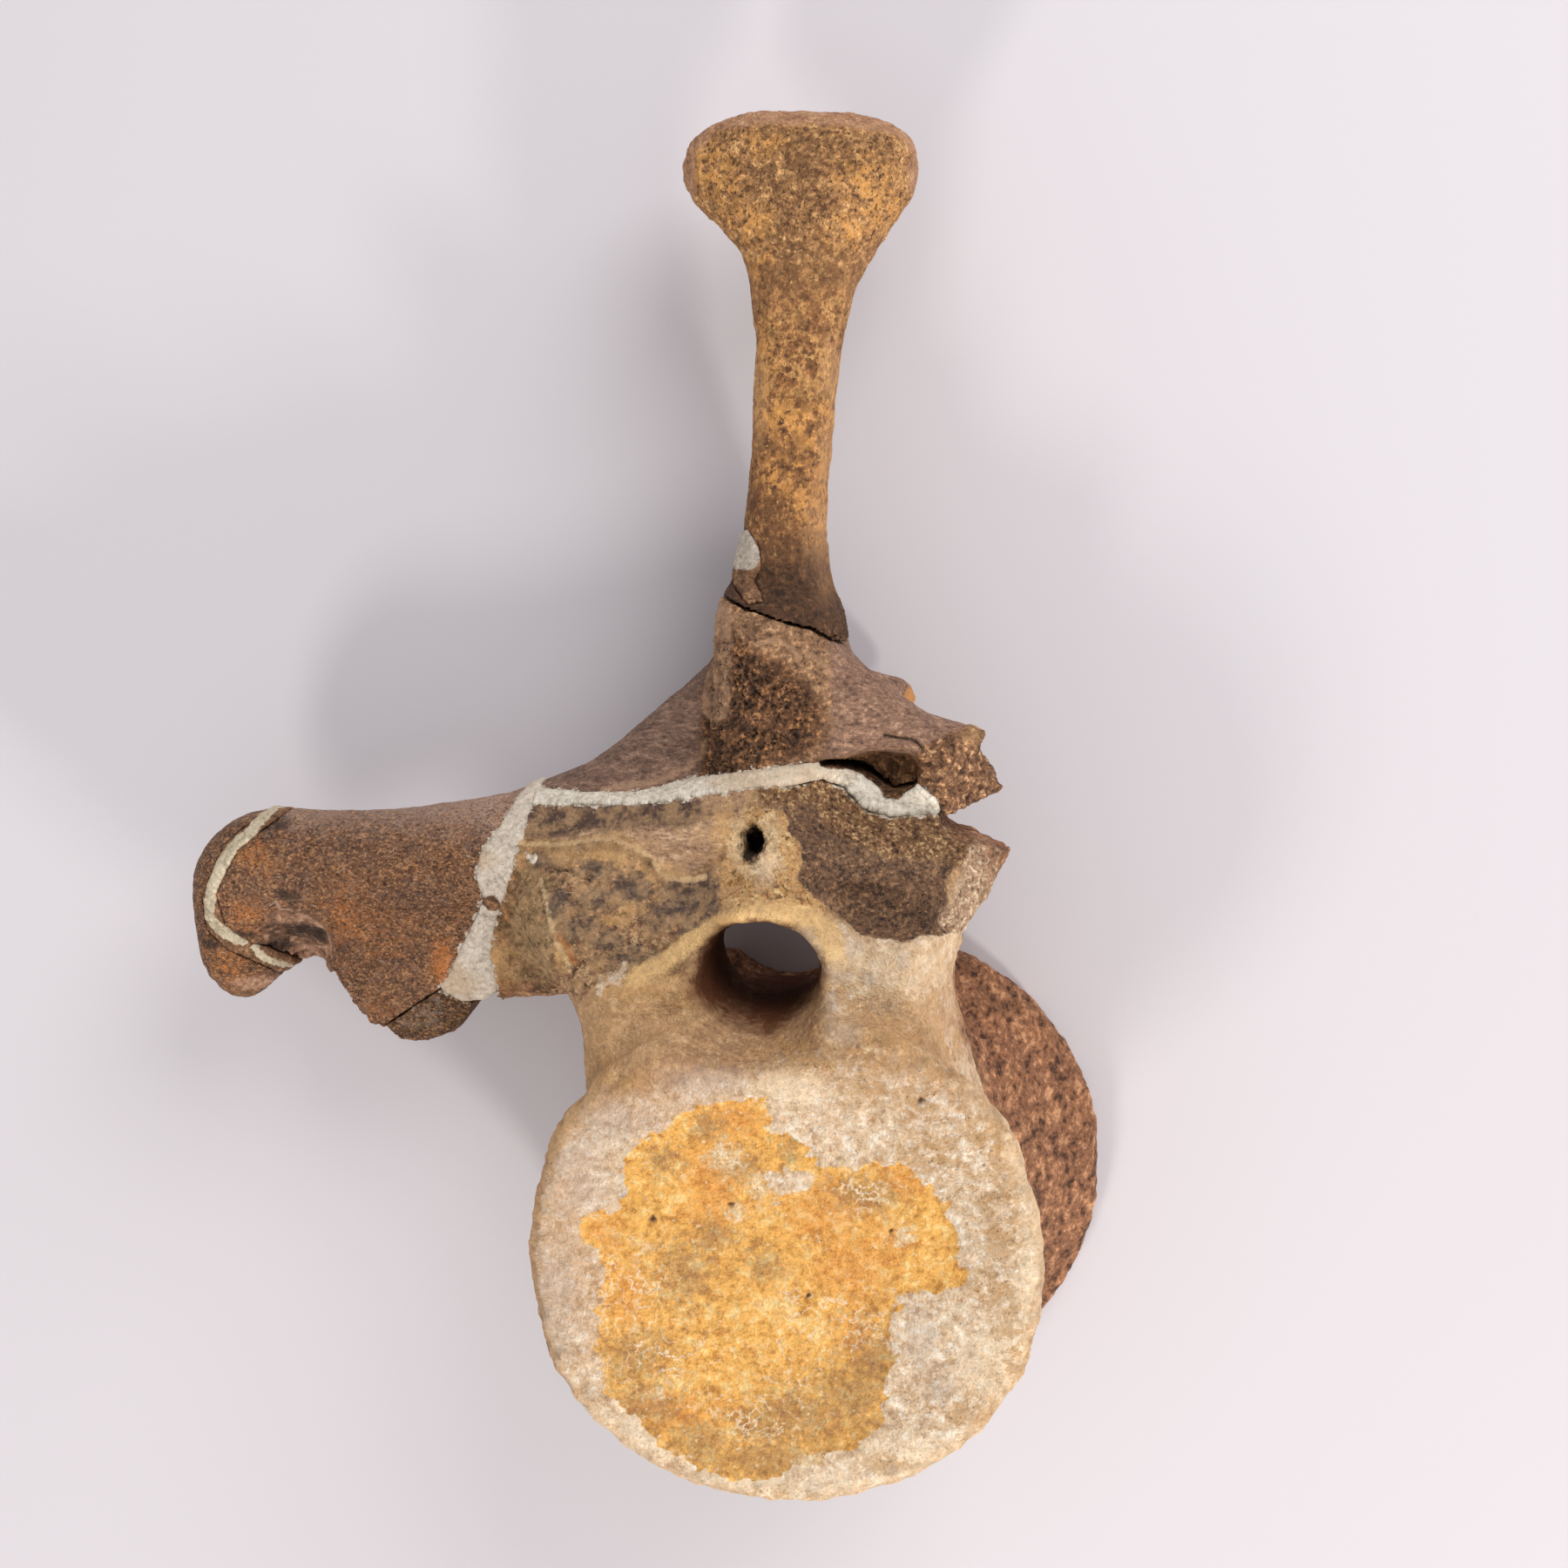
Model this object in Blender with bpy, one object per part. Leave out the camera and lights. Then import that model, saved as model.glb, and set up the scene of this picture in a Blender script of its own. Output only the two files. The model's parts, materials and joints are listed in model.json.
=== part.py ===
"""A fossil back vertebra of a large plant-eating dinosaur, mended from broken pieces with white filler.

It lies on the rear face of its body (the centrum), front face up. Lengths are millimetres from the
centre of that rear face, with +X to the right, +Y towards the tip of the neural spine and +Z up.
"""

import math

import bmesh
import bpy
import numpy as np

MM = 0.001

# Driving dimensions
BODY_LENGTH = 76.0
FRONT_HALF = (48.8, 47.3)
FRONT_CENTRE = (0.5, -0.6)
WAIST_HALF = (38.5, 37.5)
REAR_HALF = (54.3, 49.8)
REAR_CENTRE = (5.5, 1.0)
ARCH_FRONT = 66.0
CANAL_CENTRE = (-5.5, 50.8)
CANAL_HALF = (11.0, 9.6)
SPINE_TOP = 214.1
SPINE_TIP_HALF = 22.7
SPINE_FRONT = 39.5
PROCESS_REACH = -124.2
GAP = 0.3

# Fineness of the bone's surface
SIDES = 36
STEPS = 5
VOXEL = 1.5
LUMP_SIZE = 17.0
LUMP_HEIGHT = 1.8
BONE_TRIANGLES = 6300

PLACES = {"x": (0, 1, 2), "y": (1, 0, 2), "z": (2, 0, 1)}


def clear_scene():
    for thing in list(bpy.data.objects):
        bpy.data.objects.remove(thing, do_unlink=True)


def add_object(name, mesh):
    thing = bpy.data.objects.new(name, mesh)
    bpy.context.scene.collection.objects.link(thing)
    return thing


def make_helper(thing):
    """A shape that only cuts or guides: drawn as wire and left out of the result."""
    thing.hide_render = True
    thing.display_type = "WIRE"
    return thing


def smooth_rows(rows):
    """More rows on a smooth curve through the given ones."""
    rows = np.array([tuple(row) + (0.0,) * (6 - len(row)) for row in rows])
    padded = np.vstack([rows[:1], rows, rows[-1:]])
    found = []
    for before, start, end, after in zip(padded, padded[1:], padded[2:], padded[3:]):
        for t in np.arange(STEPS) / STEPS:
            bend = (2 * before - 5 * start + 4 * end - after) * t**2
            twist = (3 * start - before - 3 * end + after) * t**3
            found.append(0.5 * (2 * start + (end - before) * t + bend + twist))
    found.append(rows[-1])
    return found


def ring(row, axis, square):
    """One rounded section: place along the axis, two centres, two half sizes and a lean in degrees."""
    along, centre_1, centre_2, half_1, half_2, lean = row
    angles = np.linspace(0.0, 2.0 * math.pi, SIDES, endpoint=False)
    across = half_1 * np.sign(np.cos(angles)) * np.abs(np.cos(angles)) ** (2.0 / square)
    upward = half_2 * np.sign(np.sin(angles)) * np.abs(np.sin(angles)) ** (2.0 / square)
    turn = math.radians(lean)
    points = np.zeros((SIDES, 3))
    main, first, second = PLACES[axis]
    points[:, main] = along
    points[:, first] = centre_1 + across * math.cos(turn) - upward * math.sin(turn)
    points[:, second] = centre_2 + across * math.sin(turn) + upward * math.cos(turn)
    return points * MM


def limb(name, axis, rows, square=2.3):
    """A closed solid skinned over rounded sections that follow one axis."""
    shape = bmesh.new()
    rings = [[shape.verts.new(p) for p in ring(row, axis, square)] for row in smooth_rows(rows)]
    for lower, upper in zip(rings, rings[1:]):
        for i in range(SIDES):
            j = (i + 1) % SIDES
            shape.faces.new((lower[i], lower[j], upper[j], upper[i]))
    shape.faces.new(list(reversed(rings[0])))
    shape.faces.new(rings[-1])
    bmesh.ops.recalc_face_normals(shape, faces=shape.faces)
    mesh = bpy.data.meshes.new(name)
    shape.to_mesh(mesh)
    shape.free()
    return make_helper(add_object(name, mesh))


def prism(name, outline, low=0.0, high=90.0, slope=(0.0, 0.0)):
    """An upright block over an outline; its underside may slope, by so much for each unit of X and Y."""
    shape = bmesh.new()
    start_x, start_y = outline[0]
    heights = [low + slope[0] * (x - start_x) + slope[1] * (y - start_y) for x, y in outline]
    under = [shape.verts.new((x * MM, y * MM, z * MM)) for (x, y), z in zip(outline, heights)]
    over = [shape.verts.new((x * MM, y * MM, high * MM)) for x, y in outline]
    shape.faces.new(under)
    shape.faces.new(over)
    for i in range(len(outline)):
        j = (i + 1) % len(outline)
        shape.faces.new((under[i], under[j], over[j], over[i]))
    bmesh.ops.triangulate(shape, faces=shape.faces)
    bmesh.ops.recalc_face_normals(shape, faces=shape.faces)
    mesh = bpy.data.meshes.new(name)
    shape.to_mesh(mesh)
    shape.free()
    return make_helper(add_object(name, mesh))


def add_boolean(thing, tool, operation):
    step = thing.modifiers.new(tool.name, "BOOLEAN")
    step.operation = operation
    step.solver = "EXACT"
    step.object = tool


def bake(thing):
    """Turn an object with its modifiers into a plain mesh."""
    bpy.context.view_layer.update()
    evaluated = thing.evaluated_get(bpy.context.evaluated_depsgraph_get())
    mesh = bpy.data.meshes.new_from_object(evaluated)
    thing.modifiers.clear()
    thing.data = mesh
    return thing


def keep_largest(thing):
    """Drop the crumbs that a cut leaves beside the main body."""
    shape = bmesh.new()
    shape.from_mesh(thing.data)
    left = set(shape.verts)
    islands = []
    while left:
        queue = [left.pop()]
        island = []
        while queue:
            vert = queue.pop()
            island.append(vert)
            for edge in vert.link_edges:
                other = edge.other_vert(vert)
                if other in left:
                    left.remove(other)
                    queue.append(other)
        islands.append(island)
    islands.sort(key=len)
    crumbs = [vert for island in islands[:-1] for vert in island]
    bmesh.ops.delete(shape, geom=crumbs, context="VERTS")
    shape.to_mesh(thing.data)
    shape.free()


def beside(line, distance):
    """The same line moved sideways, to the left of its direction when the distance is positive."""
    line = np.array(line, float)
    runs = np.diff(line, axis=0)
    runs /= np.linalg.norm(runs, axis=1)[:, None]
    at_points = np.vstack([runs[:1], runs[:-1] + runs[1:], runs[-1:]])
    at_points /= np.linalg.norm(at_points, axis=1)[:, None]
    sideways = np.stack([-at_points[:, 1], at_points[:, 0]], axis=1)
    return [tuple(p) for p in line + sideways * distance]


def centrum_limb():
    """The drum-shaped body: waisted, with a larger rear face and two dished ends."""
    wide, tall = FRONT_HALF
    front_x, front_y = FRONT_CENTRE
    rear_wide, rear_tall = REAR_HALF
    waist_wide, waist_tall = WAIST_HALF
    x, y = REAR_CENTRE
    top = BODY_LENGTH
    rows = [
        (4.6, x, y, 4, 4),
        (4.0, x, y, 20, 18),
        (1.8, x, y, 0.67 * rear_wide, 0.67 * rear_tall),
        (-2.0, x, y, 0.85 * rear_wide, 0.85 * rear_tall),
        (-2.5, x, y, 0.94 * rear_wide, 0.94 * rear_tall),
        (3.0, x, y, rear_wide, rear_tall),
        (8.0, x - 0.5, y, 0.98 * rear_wide, 0.98 * rear_tall),
        (16.0, x - 1.5, y + 0.5, 0.87 * rear_wide, 0.87 * rear_tall),
        (27.0, x - 3.0, y + 1.0, 1.07 * waist_wide, 1.05 * waist_tall),
        (40.0, x - 4.5, y + 1.0, waist_wide, waist_tall),
        (52.0, front_x, y + 0.5, 1.04 * waist_wide, 1.04 * waist_tall),
        (62.0, front_x, front_y + 0.8, 0.91 * wide, 0.92 * tall),
        (top - 7.0, front_x, front_y, 0.985 * wide, 0.985 * tall),
        (top - 2.5, front_x, front_y, wide, tall),
        (top - 0.3, front_x, front_y, 0.94 * wide, 0.94 * tall),
        (top - 1.0, front_x, front_y, 0.82 * wide, 0.82 * tall),
        (top - 3.2, front_x, front_y, 0.56 * wide, 0.54 * tall),
        (top - 4.4, front_x, front_y, 0.25 * wide, 0.24 * tall),
        (top - 4.7, front_x, front_y, 2, 2),
    ]
    return limb("centrum_limb", "z", rows, square=2.12)


def arch_limbs():
    """The walls and roof around the canal, and the laminae that rise to the spine."""
    front = ARCH_FRONT
    left_wall = [
        (22, -27, 40, 14, 27),
        (34, -28.5, 41, 13, 25.5),
        (43, -30, 41.5, 13.5, 24),
        (54, -34, 41, 18.5, 22),
        (64, -36, 39, 21, 19),
        (74, -34, 37, 21, 15),
        (80, -34, 36, 17, 10),
    ]
    right_wall = [
        (22, 24, 40, 13, 27),
        (34, 20.5, 41, 12.5, 25.5),
        (44, 18.5, 41.5, 11.8, 24),
        (54, 18.5, 41, 12.5, 22),
        (64, 19.5, 39, 15, 19),
        (74, 19, 37, 17, 15),
    ]
    rim = [
        (20, -5, 50, 19, 14),
        (40, -5.5, 50.5, 18, 14),
        (front - 8, -5.5, 51, 19, 14.5),
        (front - 2, -5.5, 51, 16.8, 12.8),
        (front, -5.5, 51, 14.5, 11),
    ]
    right_wing = [
        (-8, 70, 38, 14, 20),
        (6, 68, 38, 14.5, 20),
        (16, 67, 37, 14, 18),
        (26, 67, 37, 12.5, 15),
        (36, 67, 37, 10.5, 12),
        (46, 68, 37, 8, 10),
    ]
    core = [
        (62, -5, 35, 20, 20),
        (74, -5, 34, 20, 19),
        (86, -3.7, 32.5, 14.7, 17.5),
        (97, -3.9, 31, 14.2, 18),
        (108, -4.5, 29.5, 13.4, 18.5),
        (119, -5.3, 28, 12.1, 18.5),
        (125, -5, 25, 7.5, 12),
    ]
    left_lamina = [
        (0, 98, 23, 17, 16, -10),
        (-12, 96, 23, 16.5, 15.5, -14),
        (-20, 91.5, 23.5, 15.5, 15, -18),
        (-30, 84, 25.5, 13, 16, -18),
        (-42, 76, 28.5, 11.5, 16, -14),
        (-56, 71.5, 32, 11, 14, -6),
        (-66, 69, 33, 10, 10, 0),
    ]
    right_lamina = [
        (-6, 98, 31, 18, 15),
        (6, 96, 32, 16, 14),
        (16, 92.5, 34, 11.8, 12.5),
        (26, 89.5, 36.5, 9, 10.5),
        (36, 87.5, 38, 7.8, 9),
        (46, 86, 38, 7.5, 8),
    ]
    limbs = [
        limb("left_wall", "y", left_wall, square=2.6),
        limb("right_wall", "y", right_wall, square=2.6),
        limb("canal_rim", "z", rim),
        limb("right_wing", "x", right_wing, square=2.4),
        limb("arch_core", "y", core, square=3.4),
        limb("left_lamina", "x", left_lamina, square=2.6),
        limb("right_lamina", "x", right_lamina, square=2.6),
    ]
    for side in (-1.0, 1.0):
        rear_joint = [
            (30, -2 + side * 4, 97, 9, 10),
            (20, -2 + side * 9, 98, 9, 8.5),
            (11, -2 + side * 15, 98.5, 7, 6.5),
            (6, -2 + side * 18, 99, 5.5, 5.2),
            (3.5, -2 + side * 19, 99, 3, 3.5),
        ]
        limbs.append(limb("rear_joint", "z", rear_joint))
    return limbs


def process_limbs():
    """The long left side process: a thick upper bar, a thin blade below it and the lobe at its end."""
    end = PROCESS_REACH
    bar = [
        (0, 75, 36, 13, 20),
        (-20, 73.5, 36, 12.5, 19),
        (-40, 71.5, 35, 12.5, 16.5),
        (-58, 69.3, 34, 12.7, 14.5),
        (-80, 66.3, 33.5, 12.0, 13),
        (-98, 65.3, 33, 12.1, 12),
        (end + 14, 65, 33, 12.5, 11.5),
        (end + 6, 62.5, 33, 12, 10.5),
        (end + 1, 60, 33, 8, 7),
        (end, 59, 33, 3, 3),
    ]
    blade = [
        (-44, 58, 36, 15, 12),
        (-54, 56.5, 36, 15.8, 9.5),
        (-61, 55.5, 36, 15.8, 8.5),
        (-68, 53, 36, 19.5, 7.8),
        (-78, 51, 36, 21, 7),
        (-88, 52, 36, 18, 6.6),
        (-96, 55, 36, 10, 6),
        (-101, 58, 35, 5, 5),
    ]
    lobe = [
        (68, -112, 33, 10.5, 10),
        (58, -114, 33, 10.2, 9.5),
        (50, -113.6, 33.5, 9.8, 8.5),
        (45, -114, 34, 7.8, 7.5),
        (41.5, -114, 34, 5.2, 6),
        (38.5, -114, 34, 2.2, 3),
    ]
    shelf = [
        (-88, 53, 32, 6, 4),
        (-95, 52.5, 31.5, 7, 5),
        (-101, 54, 31, 7.4, 5.5),
        (-107, 52.5, 31, 9, 6),
        (-113, 51, 32, 10, 6),
        (-119, 52, 33, 5, 4),
    ]
    return [
        limb("process_bar", "x", bar),
        limb("process_blade", "x", blade, square=2.6),
        limb("process_lobe", "y", lobe),
        limb("process_shelf", "x", shelf),
    ]


def spine_limb():
    """The upright plate, thin from side to side, that spreads into a club at its tip."""
    top = SPINE_TOP
    club = SPINE_TIP_HALF
    front = SPINE_FRONT
    # Along the plate: its middle, the height of its front face, half its width and half its depth. Its rear
    # edge rises clear of the table towards the tip, as the gap between its two shadows in the photo shows.
    rows = [
        (92, -2.5, front - 0.5, 12, 15),
        (106, -4.0, front + 0.5, 11, 17),
        (118, -5.4, front, 10.1, 17.5),
        (129, -4.9, front, 8.4, 16),
        (143, -3.7, front, 7.7, 13),
        (162, -2.2, front, 8.1, 11),
        (172.6, -1.3, front + 0.3, 8.8, 10.5),
        (180.5, -0.2, front + 0.7, 10.1, 10.5),
        (187.4, 0.2, front + 1.1, 12.7, 10.7),
        (top - 19.6, -0.6, front + 1.5, 0.83 * club, 10.9),
        (top - 14.8, -0.9, front + 1.8, club, 11),
        (top - 6.9, -0.8, front + 1, club, 10.5),
        (top - 2, -1.2, front - 1.5, 0.76 * club, 8),
        (top, -2.5, front - 5, 0.36 * club, 4.5),
    ]
    rows = [(along, across, face - deep, wide, deep) for along, across, face, wide, deep in rows]
    return limb("spine_limb", "y", rows, square=2.9)


def hollows():
    """The canal, the pit over it and the dished places of the surface, as solids to take away."""
    x, y = CANAL_CENTRE
    wide, tall = CANAL_HALF
    canal = [
        (-6, x + 1.0, y + 1, 1.3 * wide, 1.25 * tall),
        (8, x + 0.5, y + 0.6, 1.15 * wide, 1.1 * tall),
        (26, x, y, wide, tall),
        (48, x, y, wide, tall),
        (ARCH_FRONT - 5, x, y, 1.1 * wide, 1.07 * tall),
        (ARCH_FRONT + 1, x - 1, y - 0.3, 1.3 * wide, 1.25 * tall),
        (ARCH_FRONT + 8, x - 2, y - 1, 1.6 * wide, 1.5 * tall),
    ]
    pit = [(42, -7, 73.5, 1.2, 1.5), (48, -7.2, 74.5, 2.4, 3.0), (70, -8, 77.5, 3.2, 4.0)]
    return [
        limb("canal", "z", canal),
        limb("roof_pit", "z", pit),
        dish("left_dish", (-32, 59, 77), (30, 13, 22)),
        dish("right_dish", (19, 65, 73), (22, 10, 20)),
        dish("neck_dish", (-5, 43, 88), (30, 9, 19)),
        dish("under_stump", (17, 88.5, 53), (10, 4.5, 14)),
        dish("tip_hollow", (-101, 49.5, 46.5), (11.5, 8, 9)),
    ]


def dish(name, centre, half):
    """An egg-shaped solid that scoops a hollow out of a surface."""
    shape = bmesh.new()
    bmesh.ops.create_icosphere(shape, subdivisions=4, radius=1.0)
    bmesh.ops.scale(shape, verts=shape.verts, vec=[h * MM for h in half])
    bmesh.ops.translate(shape, verts=shape.verts, vec=[c * MM for c in centre])
    mesh = bpy.data.meshes.new(name)
    shape.to_mesh(mesh)
    shape.free()
    return make_helper(add_object(name, mesh))


def joined(name, things):
    """One object that holds the shapes of several."""
    shape = bmesh.new()
    for thing in things:
        shape.from_mesh(thing.data)
        bpy.data.objects.remove(thing, do_unlink=True)
    mesh = bpy.data.meshes.new(name)
    shape.to_mesh(mesh)
    shape.free()
    return make_helper(add_object(name, mesh))


def add_remesh(thing):
    step = thing.modifiers.new("skin", "REMESH")
    step.mode = "VOXEL"
    step.voxel_size = VOXEL * MM


def add_smooth(thing, rounds):
    step = thing.modifiers.new("soften", "SMOOTH")
    step.factor = 0.5
    step.iterations = rounds


def add_lumps(thing):
    """Slow swellings and dents, as on any real bone."""
    noise = bpy.data.textures.new("lumps", "CLOUDS")
    noise.noise_scale = LUMP_SIZE * MM
    noise.noise_depth = 1
    step = thing.modifiers.new("lumps", "DISPLACE")
    step.texture = noise
    step.texture_coords = "LOCAL"
    step.strength = LUMP_HEIGHT * MM
    step.mid_level = 0.5


def whole_bone():
    """The bone before it broke, as one closed skin."""
    limbs = [centrum_limb()] + arch_limbs() + process_limbs() + [spine_limb()]
    bone = joined("whole_bone", limbs)
    add_remesh(bone)
    add_smooth(bone, 6)
    for hollow in hollows():
        add_boolean(bone, hollow, "DIFFERENCE")
    add_remesh(bone)
    add_smooth(bone, 5)
    add_lumps(bone)
    bake(bone)
    thin = bone.modifiers.new("thin", "DECIMATE")
    thin.ratio = BONE_TRIANGLES / sum(len(face.vertices) - 2 for face in bone.data.polygons)
    return bake(bone)


# Lines along which the bone broke, each through the middle of its gap
ARCH_BREAK_LOW = [
    (-52.1, 80.5), (-41.6, 80.8), (-31.5, 81.2), (-19.7, 82.8), (-9.7, 84.9), (-1.4, 85.8),
    (5.2, 87.3), (9.4, 85.2), (12.7, 81.1), (18.5, 79.5), (27.2, 80.0),
]
ARCH_BREAK_HIGH = [
    (-51.8, 83.1), (-41.6, 82.8), (-31.5, 83.1), (-19.7, 85.9), (-9.7, 87.9), (-1.4, 89.2),
    (6.9, 90.1), (12.7, 88.5), (18.4, 85.3), (22.5, 86.2), (26.8, 82.8),
]
PROCESS_BREAK_RIGHT = [
    (-50.4, 96.0), (-51.8, 84.5), (-52.3, 80.5), (-52.9, 76.9), (-54.7, 68.3), (-57.4, 63.1),
    (-59.7, 57.9), (-61.0, 51.0), (-60.2, 45.8), (-60.4, 42.6),
]
PROCESS_BREAK_LEFT = [
    (-53.2, 96.0), (-54.5, 83.7), (-57.7, 76.8), (-61.6, 71.6), (-62.5, 66.5), (-61.4, 62.2),
    (-65.3, 54.4), (-69.8, 45.6), (-71.2, 43.4),
]
TIP_BREAK_RIGHT = [
    (-98.0, 88.0), (-104.3, 77.1), (-112.2, 70.5), (-116.9, 61.6), (-115.6, 55.1),
    (-111.9, 52.2), (-108.2, 50.2), (-104.6, 47.8), (-100.5, 42.0),
]
TIP_BREAK_LEFT = [
    (-101.0, 89.0), (-107.5, 78.3), (-115.2, 71.3), (-120.0, 60.7), (-119.6, 53.9),
    (-115.0, 50.1), (-110.9, 48.2), (-107.4, 45.8), (-104.0, 40.0),
]
CHIP_CRACK = [(-83.6, 35.0), (-76.3, 40.0), (-71.2, 43.4)]
FILLER_FOOT = [(-71.2, 43.4), (-67.3, 40.9), (-63.3, 41.3), (-60.4, 42.6)]
SPINE_CRACK = [
    (20.0, 109.0), (12.0, 110.6), (7.5, 112.2), (2.6, 115.4), (-2.4, 116.4), (-8.5, 118.6),
    (-14.0, 120.6), (-26.0, 121.5),
]
SPINE_PATCH = [
    (-16.0, 127.0), (-12.6, 122.6), (-9.6, 119.7), (-6.6, 120.6), (-9.0, 124.2), (-7.6, 127.0),
    (-8.0, 131.0), (-10.6, 134.2), (-15.0, 132.0),
]
# Edges where bone is lost, so that the piece ends in a rough broken face
WING_EDGE = [(29.2, 76.2), (33.1, 75.2), (40.8, 71.2), (37.2, 64.6), (32.6, 58.4), (31.2, 54.6)]
STUMP_EDGE = [(28.5, 79.4), (39.2, 83.7), (34.6, 91.2), (36.0, 96.8), (38.0, 104.0)]
CHIP_EDGE = [(-64.9, 40.2), (-66.8, 37.4), (-69.6, 33.8), (-75.1, 31.9), (-80.6, 31.7)]
BLADE_EDGE = [(-84.6, 34.6), (-88.9, 36.9), (-91.1, 42.3), (-93.7, 46.0)]
BLOCK_EDGE = [
    (-45.0, 84.0), (-17.5, 86.0), (-17.0, 91.0), (-16.4, 102.5), (-16.6, 112.0), (-16.2, 126.0),
    (-45.0, 126.0),
]
STUMP_BREAK = [(22.0, 78.0), (60.0, 78.0), (60.0, 110.0), (20.0, 106.0)]
WING_BREAK = [(29.0, 54.6), (60.0, 54.6), (60.0, 78.0), (27.5, 78.0)]
PATCH_DEPTH = 24.0


def backward(line):
    return list(reversed(line))


def piece_outlines():
    """Each piece's own outline, half a gap away from the lines it broke along."""
    half = GAP / 2.0
    right_of_process = beside(PROCESS_BREAK_RIGHT, half)
    round_centrum = [(75, 54.6), (75, -65), (-75, -65), (-75, 24), (-61.5, 34)]
    round_spine = [(40, 109), (40, 230), (-40, 230), (-40, 122)]
    round_tip = [(-103, 36), (-103, 30), (-135, 30), (-135, 89)]
    below_arch_break = [p for p in right_of_process if p[1] < 80.0]
    above_arch_break = [p for p in right_of_process if p[1] > 84.0]
    return {
        "centrum": beside(ARCH_BREAK_LOW, -half)
        + WING_EDGE
        + round_centrum
        + backward(below_arch_break),
        "upper_arch": beside(ARCH_BREAK_HIGH, half)
        + STUMP_EDGE
        + beside(SPINE_CRACK, half)
        + above_arch_break,
        "neural_spine": backward(beside(SPINE_CRACK, -half)) + round_spine,
        "transverse_process": beside(PROCESS_BREAK_LEFT, -half)[:-1]
        + backward(beside(CHIP_CRACK, half))
        + BLADE_EDGE
        + backward(beside(TIP_BREAK_RIGHT, half)),
        "process_tip": beside(TIP_BREAK_LEFT, -half) + round_tip,
        "process_chip": beside(CHIP_CRACK, -half)[:-1] + beside(FILLER_FOOT, -half)[:2] + CHIP_EDGE,
        "arch_filler": beside(ARCH_BREAK_LOW, half) + backward(beside(ARCH_BREAK_HIGH, -half)),
        "process_filler": beside(PROCESS_BREAK_RIGHT, -half)[:-1]
        + backward(beside(FILLER_FOOT, half))
        + backward(beside(PROCESS_BREAK_LEFT, half)[:-1]),
        "tip_filler": beside(TIP_BREAK_RIGHT, -half) + backward(beside(TIP_BREAK_LEFT, half)),
    }


def part_the_bone(bone):
    """Cut the whole bone into the pieces it was found in, and the filler between them."""
    pieces = {}
    for name, outline in piece_outlines().items():
        piece = add_object(name, bone.data.copy())
        add_boolean(piece, prism(name + "_region", outline), "INTERSECT")
        pieces[name] = piece
    patch = prism("patch_hole", SPINE_PATCH, low=PATCH_DEPTH)
    add_boolean(pieces["neural_spine"], patch, "DIFFERENCE")
    inner = beside(SPINE_PATCH + SPINE_PATCH[:1], GAP)[:-1]
    filler = add_object("spine_filler", bone.data.copy())
    add_boolean(filler, prism("patch_body", inner, low=PATCH_DEPTH + GAP), "INTERSECT")
    pieces["spine_filler"] = filler
    block = prism("beside_block", BLOCK_EDGE, low=49.0, slope=(0.0, -0.6))
    add_boolean(pieces["upper_arch"], block, "DIFFERENCE")
    stump = prism("stump_break", STUMP_BREAK, low=51.0, slope=(-1.1, 0.25))
    add_boolean(pieces["upper_arch"], stump, "DIFFERENCE")
    wing = prism("wing_break", WING_BREAK, low=53.0, slope=(-1.5, 0.1))
    add_boolean(pieces["centrum"], wing, "DIFFERENCE")
    for piece in pieces.values():
        bake(piece)
        keep_largest(piece)
        piece.data.shade_smooth()
        piece.data.set_sharp_from_angle(angle=math.radians(38.0))
    return pieces


# Colour and roughness of each piece
FINISHES = {
    "centrum": ((0.62, 0.47, 0.27), 0.85),
    "upper_arch": ((0.19, 0.12, 0.08), 0.8),
    "neural_spine": ((0.33, 0.20, 0.09), 0.85),
    "transverse_process": ((0.17, 0.09, 0.045), 0.7),
    "process_tip": ((0.19, 0.10, 0.05), 0.75),
    "process_chip": ((0.14, 0.09, 0.045), 0.8),
    "arch_filler": ((0.62, 0.58, 0.50), 0.9),
    "process_filler": ((0.60, 0.56, 0.47), 0.9),
    "tip_filler": ((0.58, 0.54, 0.45), 0.9),
    "spine_filler": ((0.56, 0.53, 0.48), 0.9),
}


def finish(name):
    colour, roughness = FINISHES[name]
    material = bpy.data.materials.new(name)
    material.use_nodes = True
    surface = material.node_tree.nodes["Principled BSDF"]
    surface.inputs["Base Color"].default_value = (*colour, 1.0)
    surface.inputs["Roughness"].default_value = roughness
    surface.inputs["Metallic"].default_value = 0.0
    return material


def stand_on_origin(pieces):
    """Hang the pieces on one empty, placed so that the middle of the underside is the origin."""
    corners = np.array([v.co for piece in pieces.values() for v in piece.data.vertices])
    low, high = corners.min(axis=0), corners.max(axis=0)
    stand = add_object("vertebra", None)
    stand.location = (-(low[0] + high[0]) / 2.0, -(low[1] + high[1]) / 2.0, -low[2])
    for piece in pieces.values():
        piece.parent = stand


def main():
    clear_scene()
    bone = whole_bone()
    pieces = part_the_bone(bone)
    for name, piece in pieces.items():
        piece.data.materials.clear()
        piece.data.materials.append(finish(name))
    stand_on_origin(pieces)


main()
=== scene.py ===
"""A mended fossil vertebra lying on a pale table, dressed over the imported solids.

The bone is in six fragments, set together with white filler. The sections follow the way the specimen
was put together: the view and light first, then the body and lower arch, the upper arch, the spine, the
side process with its two small fragments, and last the filler between them.
"""

import json
import math

import bmesh
import bpy
import numpy as np
from mathutils import Matrix, Vector
from mathutils.bvhtree import BVHTree
from mathutils.kdtree import KDTree


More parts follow.
